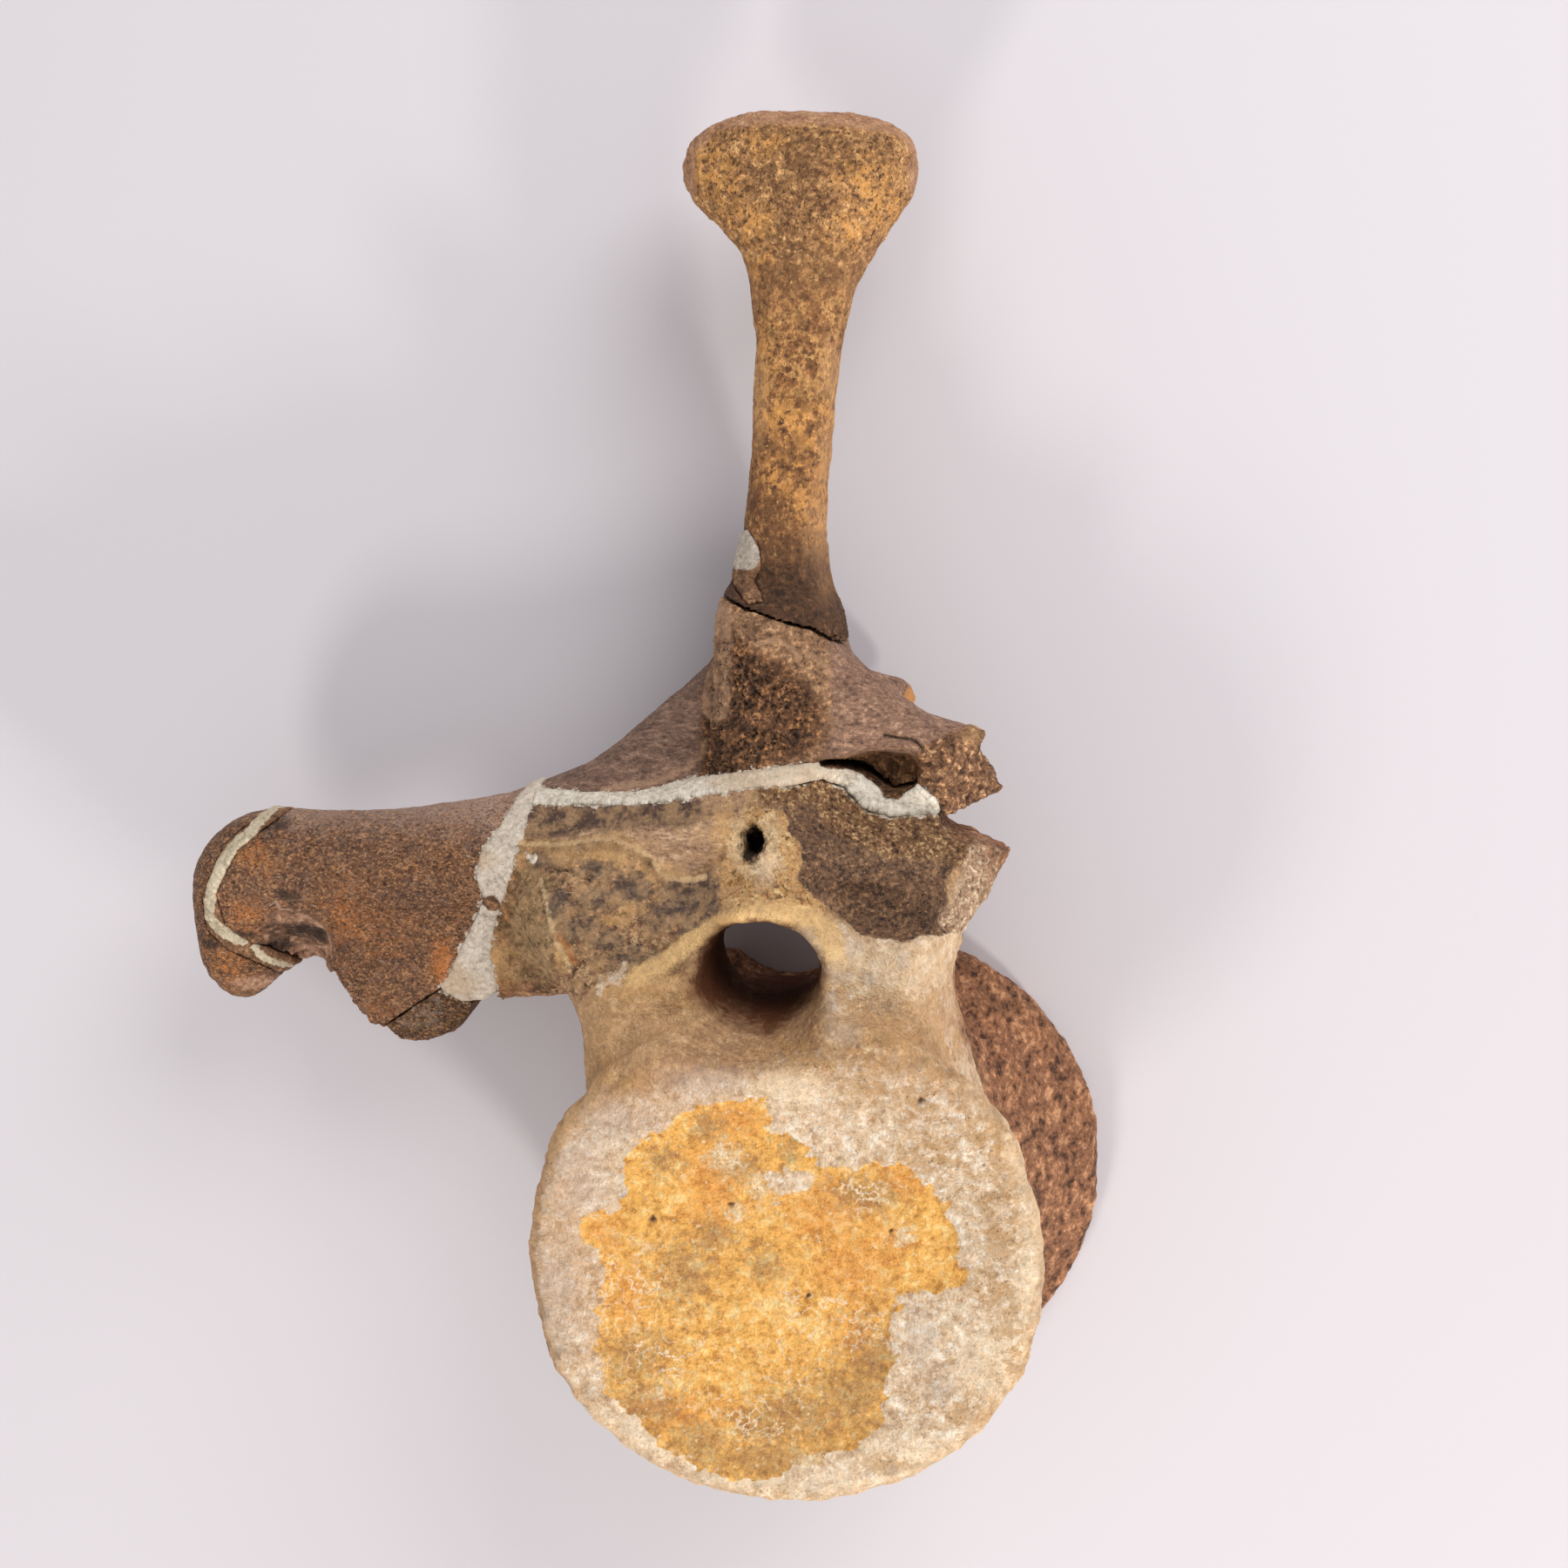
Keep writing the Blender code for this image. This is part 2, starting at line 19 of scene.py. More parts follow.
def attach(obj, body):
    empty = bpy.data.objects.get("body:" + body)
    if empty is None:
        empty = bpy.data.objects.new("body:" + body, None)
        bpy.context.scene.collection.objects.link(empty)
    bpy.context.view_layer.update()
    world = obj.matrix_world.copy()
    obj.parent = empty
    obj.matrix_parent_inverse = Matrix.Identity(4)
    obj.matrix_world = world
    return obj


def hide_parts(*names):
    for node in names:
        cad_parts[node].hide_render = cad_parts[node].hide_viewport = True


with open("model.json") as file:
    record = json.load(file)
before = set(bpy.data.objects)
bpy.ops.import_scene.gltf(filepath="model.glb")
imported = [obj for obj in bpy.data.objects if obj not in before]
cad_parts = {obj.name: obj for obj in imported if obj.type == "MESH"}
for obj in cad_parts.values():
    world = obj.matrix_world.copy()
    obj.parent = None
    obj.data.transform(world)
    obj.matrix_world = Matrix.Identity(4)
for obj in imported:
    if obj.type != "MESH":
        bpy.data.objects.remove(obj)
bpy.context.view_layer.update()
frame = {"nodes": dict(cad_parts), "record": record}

# The vertebra lies on the rear face of its body. Places are given in millimetres from the middle of that
# face, which the rest mount locates: its point is 5.5 mm to the right and 42.1 mm below that middle.
MM = 0.001
mount = frame["record"]["mounts"][0]["pos_m"]
MIDDLE = np.array([mount[0] / MM - 5.5, mount[1] / MM + 42.1, 0.0])


# View and light. The specimen lies on a plain pale table and is seen from above, a little from the right
# and from the spine's side, from about half a metre away. Two lamps near its lower end and a broad one
# beyond the spine light it, with as much again from the pale room.
def tone(red, green, blue):
    """A colour given as the eye sees it, from 0 to 255, in the renderer's linear values."""
    parts = [c / 255.0 for c in (red, green, blue)]
    return tuple(c / 12.92 if c <= 0.04045 else ((c + 0.055) / 1.055) ** 2.4 for c in parts) + (1.0,)


def link(name, data):
    thing = bpy.data.objects.new(name, data)
    bpy.context.scene.collection.objects.link(thing)
    return thing


def facing(position, backward):
    """The placement of a camera or lamp at a point, looking against the given direction."""
    back = Vector(backward).normalized()
    right = Vector((0.0, 1.0, 0.0)).cross(back).normalized()
    turned = Matrix((right, back.cross(right), back)).transposed()
    return Matrix.Translation((MIDDLE + position) * MM) @ turned.to_4x4()


camera = link("camera", bpy.data.cameras.new("camera"))
camera.data.lens = 60.0
camera.data.sensor_width = 36.0
camera.data.clip_start = 0.05
camera.matrix_world = facing((53.0, 146.0, 543.0), (0.11, 0.12, 0.987))
bpy.context.scene.camera = camera


LIT_POINT = Vector((-20.0, 60.0, 0.0))


def soft_light(name, bearing, height, distance, size, power, colour):
    """A round lamp that looks at the lit point. Its bearing and height are angles in degrees."""
    across, upward = math.radians(bearing), math.radians(height)
    flat = math.cos(upward)
    toward = Vector((flat * math.cos(across), flat * math.sin(across), math.sin(upward)))
    lamp = bpy.data.lights.new(name, "AREA")
    lamp.shape = "DISK"
    lamp.size = size * MM
    lamp.energy = power
    lamp.color = colour
    link(name, lamp).matrix_world = facing(LIT_POINT + toward * distance, toward)


soft_light("right_light", -44.0, 25.0, 1100.0, 140.0, 5.6, (1.0, 0.97, 0.93))
soft_light("left_light", -117.0, 38.0, 1300.0, 300.0, 5.7, (1.0, 0.97, 0.94))
soft_light("high_light", 55.0, 38.0, 1100.0, 700.0, 6.2, (0.98, 0.98, 1.0))
sky = bpy.data.worlds.new("room")
sky.use_nodes = True
sky.node_tree.nodes["Background"].inputs["Color"].default_value = (0.93, 0.92, 0.95, 1.0)
sky.node_tree.nodes["Background"].inputs["Strength"].default_value = 0.61
bpy.context.scene.world = sky
bpy.context.scene.view_settings.view_transform = "Standard"

table = bpy.data.meshes.new("table")
table.from_pydata([(-6, -6, 0), (6, -6, 0), (6, 6, 0), (-6, 6, 0)], [], [(0, 1, 2, 3)])
table.materials.append(bpy.data.materials.new("table_paint"))
table.materials[0].use_nodes = True
paint = table.materials[0].node_tree.nodes["Principled BSDF"]
paint.inputs["Base Color"].default_value = tone(211, 206, 209)
paint.inputs["Roughness"].default_value = 0.9
link("table", table)


# The body with the lower arch, one fragment: the drum-shaped centrum, the walls round the canal and the
# lower half of the arch's face. It is pale where the outer layer is whole, ochre where that has flaked off
# the front face, and reddish brown towards its rear rim. It lies on the table and carries all the rest.
class Wiring:
    """Adds nodes to a tree. Whatever is given for a socket is either a plain value or another socket."""

    def __init__(self, tree):
        self.tree = tree

    def add(self, kind, inputs=(), **settings):
        made = self.tree.nodes.new(kind)
        for name, value in settings.items():
            setattr(made, name, value)
        for key, value in dict(inputs).items():
            if isinstance(value, bpy.types.NodeSocket):
                self.tree.links.new(value, made.inputs[key])
            else:
                made.inputs[key].default_value = value
        return made

    def math(self, operation, *parts):
        """An operation on one value, or on two or more from left to right."""
        result = parts[0]
        for part in parts[1:] or (0.0,):
            result = self.add("ShaderNodeMath", {0: result, 1: part}, operation=operation).outputs[0]
        return result

    def plus(self, *parts):
        return self.math("ADD", *parts)

    def less(self, first, second):
        return self.math("SUBTRACT", first, second)

    def times(self, *parts):
        return self.math("MULTIPLY", *parts)

    def vector(self, operation, first, second):
        return self.add("ShaderNodeVectorMath", {0: first, 1: second}, operation=operation).outputs[0]

    def longer(self, direction, length):
        """A vector times a number."""
        made = self.add("ShaderNodeVectorMath", {0: direction, "Scale": length}, operation="SCALE")
        return made.outputs[0]

    def step(self, value, low, high):
        """A smooth rise from 0 to 1 as the value goes from low to high."""
        inputs = {"Value": value, "From Min": low, "From Max": high}
        return self.add("ShaderNodeMapRange", inputs, interpolation_type="SMOOTHSTEP").outputs[0]

    def noise(self, place, size, detail=3.0, roughness=0.55, seed=0.0):
        """Cloudy values about 0, mostly between -1 and 1, with lumps of the given size."""
        if seed:
            place = self.vector("ADD", place, Vector((71.3, -37.9, 53.7)) * seed)
        scale = self.math("DIVIDE", 1.0, size)
        inputs = {"Vector": place, "Scale": scale, "Detail": detail, "Roughness": roughness}
        cloud = self.add("ShaderNodeTexNoise", inputs).outputs["Fac"]
        return self.times(self.less(cloud, 0.5), 4.0)

    def blend(self, mask, under, over, blend_type="MIX"):
        inputs = {0: mask, 6: under, 7: over}
        return self.add("ShaderNodeMix", inputs, data_type="RGBA", blend_type=blend_type).outputs[2]

    def shade(self, colour, amount):
        """A colour times a grey value."""
        grey = self.add("ShaderNodeCombineColor", {0: amount, 1: amount, 2: amount}).outputs[0]
        return self.blend(1.0, colour, grey, "MULTIPLY")


SOCKETS = {float: "NodeSocketFloat", tuple: "NodeSocketColor", Vector: "NodeSocketVector"}


def node_group(name, kind, inputs, outputs):
    """An empty node group with named sockets, and its wiring, inner inputs and inner outputs."""
    tree = bpy.data.node_groups.new(name, kind)
    for label, value in inputs.items():
        socket_type = value if isinstance(value, str) else SOCKETS[type(value)]
        socket = tree.interface.new_socket(label, in_out="INPUT", socket_type=socket_type)
        if not isinstance(value, str):
            socket.default_value = value
    for label, socket_type in outputs.items():
        tree.interface.new_socket(label, in_out="OUTPUT", socket_type=socket_type)
    given = tree.nodes.new("NodeGroupInput").outputs
    result = tree.nodes.new("NodeGroupOutput").inputs
    return tree, Wiring(tree), given, result


def pore_mask(w, place, size):
    """The open cells of spongy bone, 1 in the holes and 0 on the struts between them."""
    first = w.math("ABSOLUTE", w.noise(place, size, 2.0, 0.5, 6.0))
    second = w.math("ABSOLUTE", w.noise(place, size, 2.0, 0.5, 7.0))
    open_places = w.step(w.noise(place, w.times(size, 3.0), 3.0), -0.7, 0.2)
    return w.times(w.step(w.math("MINIMUM", first, second), 0.1, 0.34), open_places)


def flake_edge(w, place, inside):
    """How far a point lies inside a flaked place whose edge wanders, in millimetres."""
    wander = w.plus(w.noise(place, 5.0, 4.0, 0.6), w.noise(place, 1.8, 4.0, 0.65))
    return w.plus(inside, w.times(wander, 1.7))


def make_weathering():
    """Moves a close-meshed surface along its normals, by amounts in millimetres, where its attributes say."""
    sizes = {
        "Geometry": "NodeSocketGeometry", "Material": "NodeSocketMaterial", "Fibre": Vector((1.0, 1.0, 1.0)),
        "Lump Size": 9.0, "Lump Height": 0.3, "Grain Size": 1.6, "Grain Height": 0.12,
        "Pore Size": 1.1, "Pore Depth": 0.8, "Break Size": 2.6, "Break Height": 0.7,
        "Rim Size": 2.4, "Rim Height": 0.45, "Flake Depth": 0.35,
    }
    tree, w, given, result = node_group(
        "weathering", "GeometryNodeTree", sizes, {"Geometry": "NodeSocketGeometry"}
    )
    position = w.add("GeometryNodeInputPosition").outputs[0]
    place = w.vector("SUBTRACT", w.longer(position, 1.0 / MM), Vector(MIDDLE))
    along = w.vector("MULTIPLY", place, given["Fibre"])

    def attribute(name):
        return w.add("GeometryNodeInputNamedAttribute", {"Name": name}, data_type="FLOAT").outputs[0]

    lumps = w.times(w.noise(place, given["Lump Size"], 2.0), given["Lump Height"])
    grain = w.times(w.noise(along, given["Grain Size"], 4.0, 0.6), given["Grain Height"])
    holes = w.times(pore_mask(w, place, given["Pore Size"]), attribute("spongy"), given["Pore Depth"])
    rough = w.noise(place, given["Break Size"], 5.0, 0.62)
    rough = w.times(rough, given["Break Height"], attribute("broken"))
    knobs = w.times(w.noise(along, given["Rim Size"], 3.0, 0.5), given["Rim Height"], attribute("rim"))
    edge = flake_edge(w, place, attribute("flaked"))
    crumbly = w.less(1.0, w.times(w.noise(place, 2.2, 3.0), 0.45))
    lost = w.times(w.step(edge, -0.35, 0.35), crumbly, given["Flake Depth"])

    fine = w.less(w.plus(grain, rough, knobs), holes)
    total = w.less(w.plus(lumps, fine, attribute("shape")), lost)
    surface = given["Geometry"]
    for name, value, kind in (
        ("place", place, "FLOAT_VECTOR"),
        # relief: the fine bumps, which the materials read for painted shade in hollows and painted highlight
        # on ridges
        ("relief", w.times(fine, 2.0), "FLOAT"),
        ("flake_edge", edge, "FLOAT"),
    ):
        inputs = {"Geometry": surface, "Name": name, "Value": value}
        stored = w.add("GeometryNodeStoreNamedAttribute", inputs, data_type=kind, domain="POINT")
        surface = stored.outputs[0]
    offset = w.longer(w.add("GeometryNodeInputNormal").outputs[0], w.times(total, MM))
    moved = w.add("GeometryNodeSetPosition", {"Geometry": surface, "Offset": offset}).outputs[0]
    painted = w.add("GeometryNodeSetMaterial", {"Geometry": moved, "Material": given["Material"]})
    tree.links.new(painted.outputs[0], result["Geometry"])
    return tree


WEATHERING = make_weathering()


def freeze(piece):
    """Turn an object with its modifiers into a plain mesh."""
    bpy.context.view_layer.update()
    graph = bpy.context.evaluated_depsgraph_get()
    finished = piece.evaluated_get(graph)
    mesh = bpy.data.meshes.new_from_object(finished, preserve_all_data_layers=True, depsgraph=graph)
    piece.modifiers.clear()
    piece.data = mesh


def vectors_of(points, name):
    """The vector that each point of a mesh has by a name, as rows."""
    found = np.empty(len(points) * 3, np.float32)
    points.foreach_get(name, found)
    return found.reshape(-1, 3).astype(float)


def places_of(piece):
    """The points of a piece, in millimetres from the middle of the body's rear face."""
    return vectors_of(piece.data.vertices, "co") / MM - MIDDLE


def normals_of(piece):
    return vectors_of(piece.data.vertex_normals, "vector")


SHARP_ANGLE = math.radians(42.0)
HELD = 0.4
FADE = 3.0


def close_copy(node, name, grid, rounds):
    """A close-meshed copy of a fragment's solid, its facets rubbed smooth and its broken edges kept.

    Points within HELD of a sharp edge, in millimetres, hardly move in the rounds of rubbing. They move freely
    from FADE further out.
    """
    shape = bmesh.new()
    shape.from_mesh(frame["nodes"][node].data)
    bmesh.ops.remove_doubles(shape, verts=shape.verts, dist=0.001 * MM)
    creases = []
    for edge in shape.edges:
        if edge.is_manifold and edge.calc_face_angle() > SHARP_ANGLE:
            start, end = (v.co / MM for v in edge.verts)
            for share in np.linspace(0.0, 1.0, 2 + int(edge.calc_length() / MM)):
                creases.append(start.lerp(end, share))
    mesh = bpy.data.meshes.new(name)
    shape.to_mesh(mesh)
    shape.free()
    piece = link(name, mesh)
    skin = piece.modifiers.new("skin", "REMESH")
    skin.mode = "VOXEL"
    skin.voxel_size = grid * MM
    freeze(piece)

    tree = KDTree(len(creases))
    for number, crease in enumerate(creases):
        tree.insert(crease, number)
    tree.balance()
    points = np.array([v.co / MM for v in piece.data.vertices])
    count = len(points)
    distance = np.array([tree.find(p)[2] for p in points]) if creases else np.full(count, HELD + FADE)
    freedom = np.clip((distance - HELD) / FADE, 0.04, 1.0)[:, None]
    ends = np.empty(len(piece.data.edges) * 2, np.int32)
    piece.data.edges.foreach_get("vertices", ends)
    first, second = ends.reshape(-1, 2).T
    neighbours = np.bincount(ends, minlength=count)[:, None]
    for _ in range(rounds):
        around = [
            np.bincount(first, points[second, k], count) + np.bincount(second, points[first, k], count)
            for k in range(3)
        ]
        points += 0.5 * freedom * (np.stack(around, axis=1) / neighbours - points)
    piece.data.vertices.foreach_set("co", (points * MM).astype(np.float32).ravel())
    piece.data.update()
    return piece


# Lower than every point, for marks at any height, and further out than the edge of a mark wanders.
UNDER_ALL = -9.0
FAR_OUT = -8.0


def inside(at, outline):
    """How far each point lies inside an outline seen from above, in millimetres; outside is negative."""
    x, y = at[:, 0, None], at[:, 1, None]
    corners = np.array(outline, float)
    ax, ay = corners.T
    bx, by = np.roll(corners, -1, axis=0).T
    crosses = ((ay > y) != (by > y)) & (x < ax + (bx - ax) * (y - ay) / np.where(by == ay, 1e-9, by - ay))
    within = crosses.sum(axis=1) % 2 == 1
    distance = off_line(at, outline + outline[:1])
    return np.where(within, distance, -distance)


def off_line(at, line):
    """Distance of each point from a line of straight stretches seen from above."""
    x, y = at[:, 0, None], at[:, 1, None]
    corners = np.array(line, float)
    ax, ay = corners[:-1].T
    run_x, run_y = (corners[1:] - corners[:-1]).T
    share = ((x - ax) * run_x + (y - ay) * run_y) / (run_x**2 + run_y**2)
    share = np.clip(share, 0.0, 1.0)
    return np.hypot(x - ax - share * run_x, y - ay - share * run_y).min(axis=1)


def reach(at, x, y, wide, tall):
    """How far out each point is in an oval seen from above, 0 in its middle and 1 on its edge."""
    return np.hypot((at[:, 0] - x) / wide, (at[:, 1] - y) / tall)


def spots(at, places, level=UNDER_ALL):
    """1 in the middle of each oval spot, 0 on its edge, -1 further out. A spot is x, y and two half sizes."""
    found = np.full(len(at), -1.0)
    for spot in places:
        found = np.maximum(found, 1.0 - reach(at, *spot))
    return np.where(at[:, 2] > level, found, -1.0)


def beside(at, line, width, level=UNDER_ALL, outside=-3.0):
    """How far each point above a level lies inside a band along a line, in millimetres."""
    return np.where(at[:, 2] > level, width - off_line(at, line), outside)


def bell(value, width):
    """1 where a value is 0, falling away smoothly on both sides."""
    return np.exp(-((value / width) ** 2))


def rise(value, low, high):
    """A smooth rise from 0 to 1, as in the node trees."""
    share = np.clip((value - low) / (high - low), 0.0, 1.0)
    return share * share * (3.0 - 2.0 * share)


SMEAR_REACH = 3.0
SMEAR_WIDTH = 0.55


def beside_filler(at, *nodes):
    """How close each point lies to the filler's solids, counted down from the width of a smear."""
    nearest = np.full(len(at), SMEAR_REACH)
    for node in nodes:
        mesh = frame["nodes"][node].data
        corners = np.array([v.co for v in mesh.vertices]) / MM - MIDDLE
        tree = BVHTree.FromPolygons([Vector(c) for c in corners], [tuple(p.vertices) for p in mesh.polygons])
        close = (at > corners.min(axis=0) - SMEAR_REACH) & (at < corners.max(axis=0) + SMEAR_REACH)
        for index in np.flatnonzero(close.all(axis=1)):
            found = tree.find_nearest(Vector(at[index]), SMEAR_REACH)[3]
            if found is not None:
                nearest[index] = min(nearest[index], found)
    return SMEAR_WIDTH - nearest


# What the weathering reads where nothing else is said: not flaked, and neither knobbly, broken nor spongy.
UNTOUCHED = {"flaked": -20.0, "rim": 0.0, "broken": 0.0, "spongy": 0.0}


def mark(piece, **marks):
    """Keep values of a piece's points as attributes, for its weathering and its material."""
    count = len(piece.data.vertices)
    for name, values in (UNTOUCHED | marks).items():
        layer = piece.data.attributes.new(name, "FLOAT", "POINT")
        layer.data.foreach_set("value", np.full(count, values, np.float32))


def dress(piece, node, slot, material, **sizes):
    """Weather a piece, with the tree's own sizes except for those given, and let it stand for its solid."""
    step = piece.modifiers.new("weathering", "NODES")
    step.node_group = WEATHERING
    values = {name.replace("_", " "): value for name, value in sizes.items()}
    values["Material"] = material
    for item in WEATHERING.interface.items_tree:
        if item.item_type == "SOCKET" and item.in_out == "INPUT" and item.name in values:
            step[item.identifier] = values[item.name]
    freeze(piece)
    piece.data.shade_smooth()
    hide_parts(node)
    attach(piece, "root")


def make_mottle():
    """Cloudy change between three colours, from broad patches down to single grains."""
    grey = tone(128, 128, 128)
    inputs = {"Place": Vector(), "Size": 6.0, "Grain": 0.9, "Dark": grey, "Middle": grey, "Light": grey}
    tree, w, given, result = node_group("mottle", "ShaderNodeTree", inputs, {"Color": "NodeSocketColor"})
    bend = w.times(w.noise(given["Place"], given["Size"], 2.0, 0.5, 1.0), given["Size"])
    bent = w.vector("ADD", given["Place"], w.longer(Vector((0.35, -0.3, 0.25)), bend))
    patches = w.noise(bent, given["Size"], 8.0, 0.68)
    grains = w.noise(given["Place"], given["Grain"], 4.0, 0.7, 2.0)
    mixed = w.plus(w.times(patches, 0.7), w.times(grains, 0.95))
    darker = w.blend(w.step(mixed, -0.75, 0.05), given["Dark"], given["Middle"])
    tree.links.new(w.blend(w.step(mixed, 0.05, 0.75), darker, given["Light"]), result["Color"])
    return tree


def make_mask(name, sizes, shape):
    """A group that says where a coat of paint covers the ground, by its own sizes and a seed."""
    inputs = {"Place": Vector(), "Seed": 0.0} | sizes
    tree, w, given, result = node_group(name, "ShaderNodeTree", inputs, {"Mask": "NodeSocketFloat"})
    place = w.vector("ADD", given["Place"], w.longer(Vector((9.1, -7.7, 8.3)), given["Seed"]))
    tree.links.new(shape(w, place, given), result["Mask"])
    return tree


def stain_shape(w, place, given):
    """A stain with a wandering edge, from how far inside its drawn edge a point lies."""
    wander = w.times(w.noise(place, given["Size"], 8.0, 0.7, 3.0), given["Wander"])
    return w.step(w.plus(given["Inside"], wander), w.times(given["Softness"], -1.0), given["Softness"])


def fleck_shape(w, place, given):
    """Small irregular flecks, the peaks of a cloudy noise above a level."""
    return w.step(w.noise(place, given["Size"], 3.0, 0.6), given["Level"], w.plus(given["Level"], 0.3))


def vein_shape(w, place, given):
    """Thin wandering lines, where a cloudy noise passes through zero."""
    cloud = w.math("ABSOLUTE", w.noise(place, given["Size"], 3.0, 0.5))
    broken = w.step(w.noise(place, w.times(given["Size"], 1.7), 3.0, 0.6, 1.0), -0.6, 0.3)
    return w.times(w.less(1.0, w.step(cloud, 0.0, given["Width"])), broken)


MOTTLE = make_mottle()
STAIN = make_mask("stain", {"Inside": 0.0, "Size": 3.0, "Wander": 1.0, "Softness": 0.3}, stain_shape)
FLECKS = make_mask("flecks", {"Size": 1.0, "Level": 0.6}, fleck_shape)
VEINS = make_mask("veins", {"Size": 3.0, "Width": 0.1}, vein_shape)


# Painted shade in the hollows and painted highlight on the ridges, as shares of the paint's brightness, and
# how much single grains differ.
HOLLOW_PAINTED_SHADE = 0.74
RIDGE_PAINTED_HIGHLIGHT = 1.16
GRAIN_TONE = 0.2


class BoneFinish:
    """A matt bone material, painted from its ground colour upward, coat over coat."""

    def __init__(self, name, roughness):
        self.material = bpy.data.materials.new(name)
        self.material.use_nodes = True
        self.w = Wiring(self.material.node_tree)
        self.surface = self.material.node_tree.nodes["Principled BSDF"]
        self.surface.inputs["Roughness"].default_value = roughness
        self.surface.inputs["Specular IOR Level"].default_value = 0.35
        self.place = self.w.add("ShaderNodeAttribute", attribute_name="place").outputs["Vector"]

    def value(self, name):
        return self.w.add("ShaderNodeAttribute", attribute_name=name).outputs["Fac"]

    def fibres(self, *stretch):
        """Places squeezed so that clouds become streaks."""
        return self.w.vector("MULTIPLY", self.place, Vector(stretch))

    def group(self, tree, place=None, **values):
        inputs = {"Place": place or self.place} | values
        return self.w.add("ShaderNodeGroup", inputs, node_tree=tree).outputs[0]

    def mottled(self, size, dark, middle, light, grain=0.9, place=None):
        dark, middle, light = tone(*dark), tone(*middle), tone(*light)
        return self.group(MOTTLE, place, Size=size, Grain=grain, Dark=dark, Middle=middle, Light=light)

    def coat(self, under, over, mask, strength):
        over = tone(*over) if isinstance(over, tuple) else over
        return self.w.blend(self.w.times(mask, strength), under, over)

    def stained(self, under, over, name, size=3.0, wander=1.0, softness=0.3, strength=1.0):
        """A coat where the stain's own attribute says, with a wandering edge."""
        mask = self.group(STAIN, Inside=self.value(name), Size=size, Wander=wander, Softness=softness)
        return self.coat(under, over, mask, strength)

    def flecked(self, under, over, size, level, strength=1.0, seed=1.0, place=None):
        return self.coat(under, over, self.group(FLECKS, place, Size=size, Level=level, Seed=seed), strength)

    def veined(self, under, over, size, width, strength=1.0, seed=1.0, place=None):
        return self.coat(under, over, self.group(VEINS, place, Size=size, Width=width, Seed=seed), strength)

    def painted(self, colour, *coats):
        """Coat over coat. Each is flecks, veins or the name of a stain, then its tone, sizes and strength."""
        for kind, over, *sizes in coats:
            if kind == "flecks":
                colour = self.flecked(colour, over, *sizes)
            elif kind == "veins":
                colour = self.veined(colour, over, *sizes)
            else:
                colour = self.stained(colour, over, kind, *sizes)
        return colour

    def done(self, colour, grain_size, grain_height, *stretch):
        """Paint shade into the hollows and highlight onto the ridges, add the finest grain and join it all to
        the surface.
        """
        w = self.w
        height = w.step(self.value("relief"), -1.2, 0.7)
        # Painted shade in the hollows and painted highlight on the ridges, following the relief.
        colour = w.shade(colour, w.plus(HOLLOW_PAINTED_SHADE, w.times(height, RIDGE_PAINTED_HIGHLIGHT - HOLLOW_PAINTED_SHADE)))
        streaks = self.fibres(*stretch) if stretch else self.place
        grains = w.noise(streaks, grain_size, 4.0, 0.65, 4.0)
        dust = w.noise(streaks, grain_size * 0.5, 2.0, 0.6, 5.0)
        both = w.plus(grains, w.times(dust, 0.6))
        colour = w.shade(colour, w.plus(1.0, w.times(both, GRAIN_TONE)))
        inputs = {"Height": w.times(both, grain_height), "Distance": MM, "Strength": 1.0}
        bump = w.add("ShaderNodeBump", inputs).outputs["Normal"]
        w.tree.links.new(colour, self.surface.inputs["Base Color"])
        w.tree.links.new(bump, self.surface.inputs["Normal"])
        return self.material


# The marks on the faces of the arch count above these heights, so that its far side stays clear of them.
ARCH_EDGE = 30
ARCH_FACE = 40
# The two faces of the body and all spots are ovals: x and y of the middle, and two half sizes.
FRONT_FACE = (0.5, -0.6, 48.8, 47.3)
REAR_FACE = (5.5, 1, 54.3, 49.8)
FLAKED = [
    (-2.4, 30.9), (-7.4, 30.1), (-11.6, 29.2), (-16.3, 28.3), (-20.7, 25.2), (-24.5, 23.4), (-28.3, 21),
    (-30, 15.7), (-29.6, 12.8), (-30.2, 6.7), (-33.7, 7.8), (-37.3, 5.6), (-37, 2.2), (-34.1, 0.2),
    (-33.1, -4), (-34.3, -10.8), (-34.7, -17.7), (-33.4, -24), (-30.2, -28.9), (-22.5, -36.3), (-15.6, -40),
    (-8.5, -42.2), (-2.4, -42.2), (3.9, -39.5), (11.5, -36.8), (17.8, -33.4), (20, -27.1), (21.2, -18.9),
    (20.5, -15.6), (22.1, -8.9), (22.5, -5.9), (29.1, -5.5), (35, -3.8), (33.7, 1.9), (32.4, 6.7),
    (31.4, 11.6), (27.5, 14.3), (24.2, 17.1), (22, 19), (16.8, 18.2), (11.9, 16.9), (7, 17.8), (5.1, 19.7),
    (3.8, 22.9), (1.1, 23.8), (-1.8, 23.8), (-2.9, 26.3),
]
LEFT_WHOLE = [(-3.1, 16), (0.5, 16.9), (4.6, 16.7), (5.4, 14.1), (2.4, 10.9), (-1.2, 10.4), (-2.5, 13.1)]
PALE = [
    (-47, -5), (-44.5, 12), (-38, 25), (-28, 31), (-14, 34), (0, 36.5), (8, 40), (9, 49), (8.5, 56), (7, 61),
    (12, 60), (32, 59), (36, 45), (43, 30), (50, 15), (52, 0), (50, -17), (42, -34), (26, -45), (5, -50),
    (-13, -49), (-30, -40), (-42, -25),
]
FACET_EDGE = [(-1.4, 81), (-0.5, 78.1), (1.9, 75.3), (2.4, 72.3), (1.6, 69), (3.6, 66.4), (6.9, 63.6)]
BRIDGE = [
    (-13, 64.5), (-13.4, 70.4), (-12.4, 75), (-11.6, 80), (-8, 82), *FACET_EDGE, (5, 61.4), (0, 62.4),
    (-7, 62.6),
]
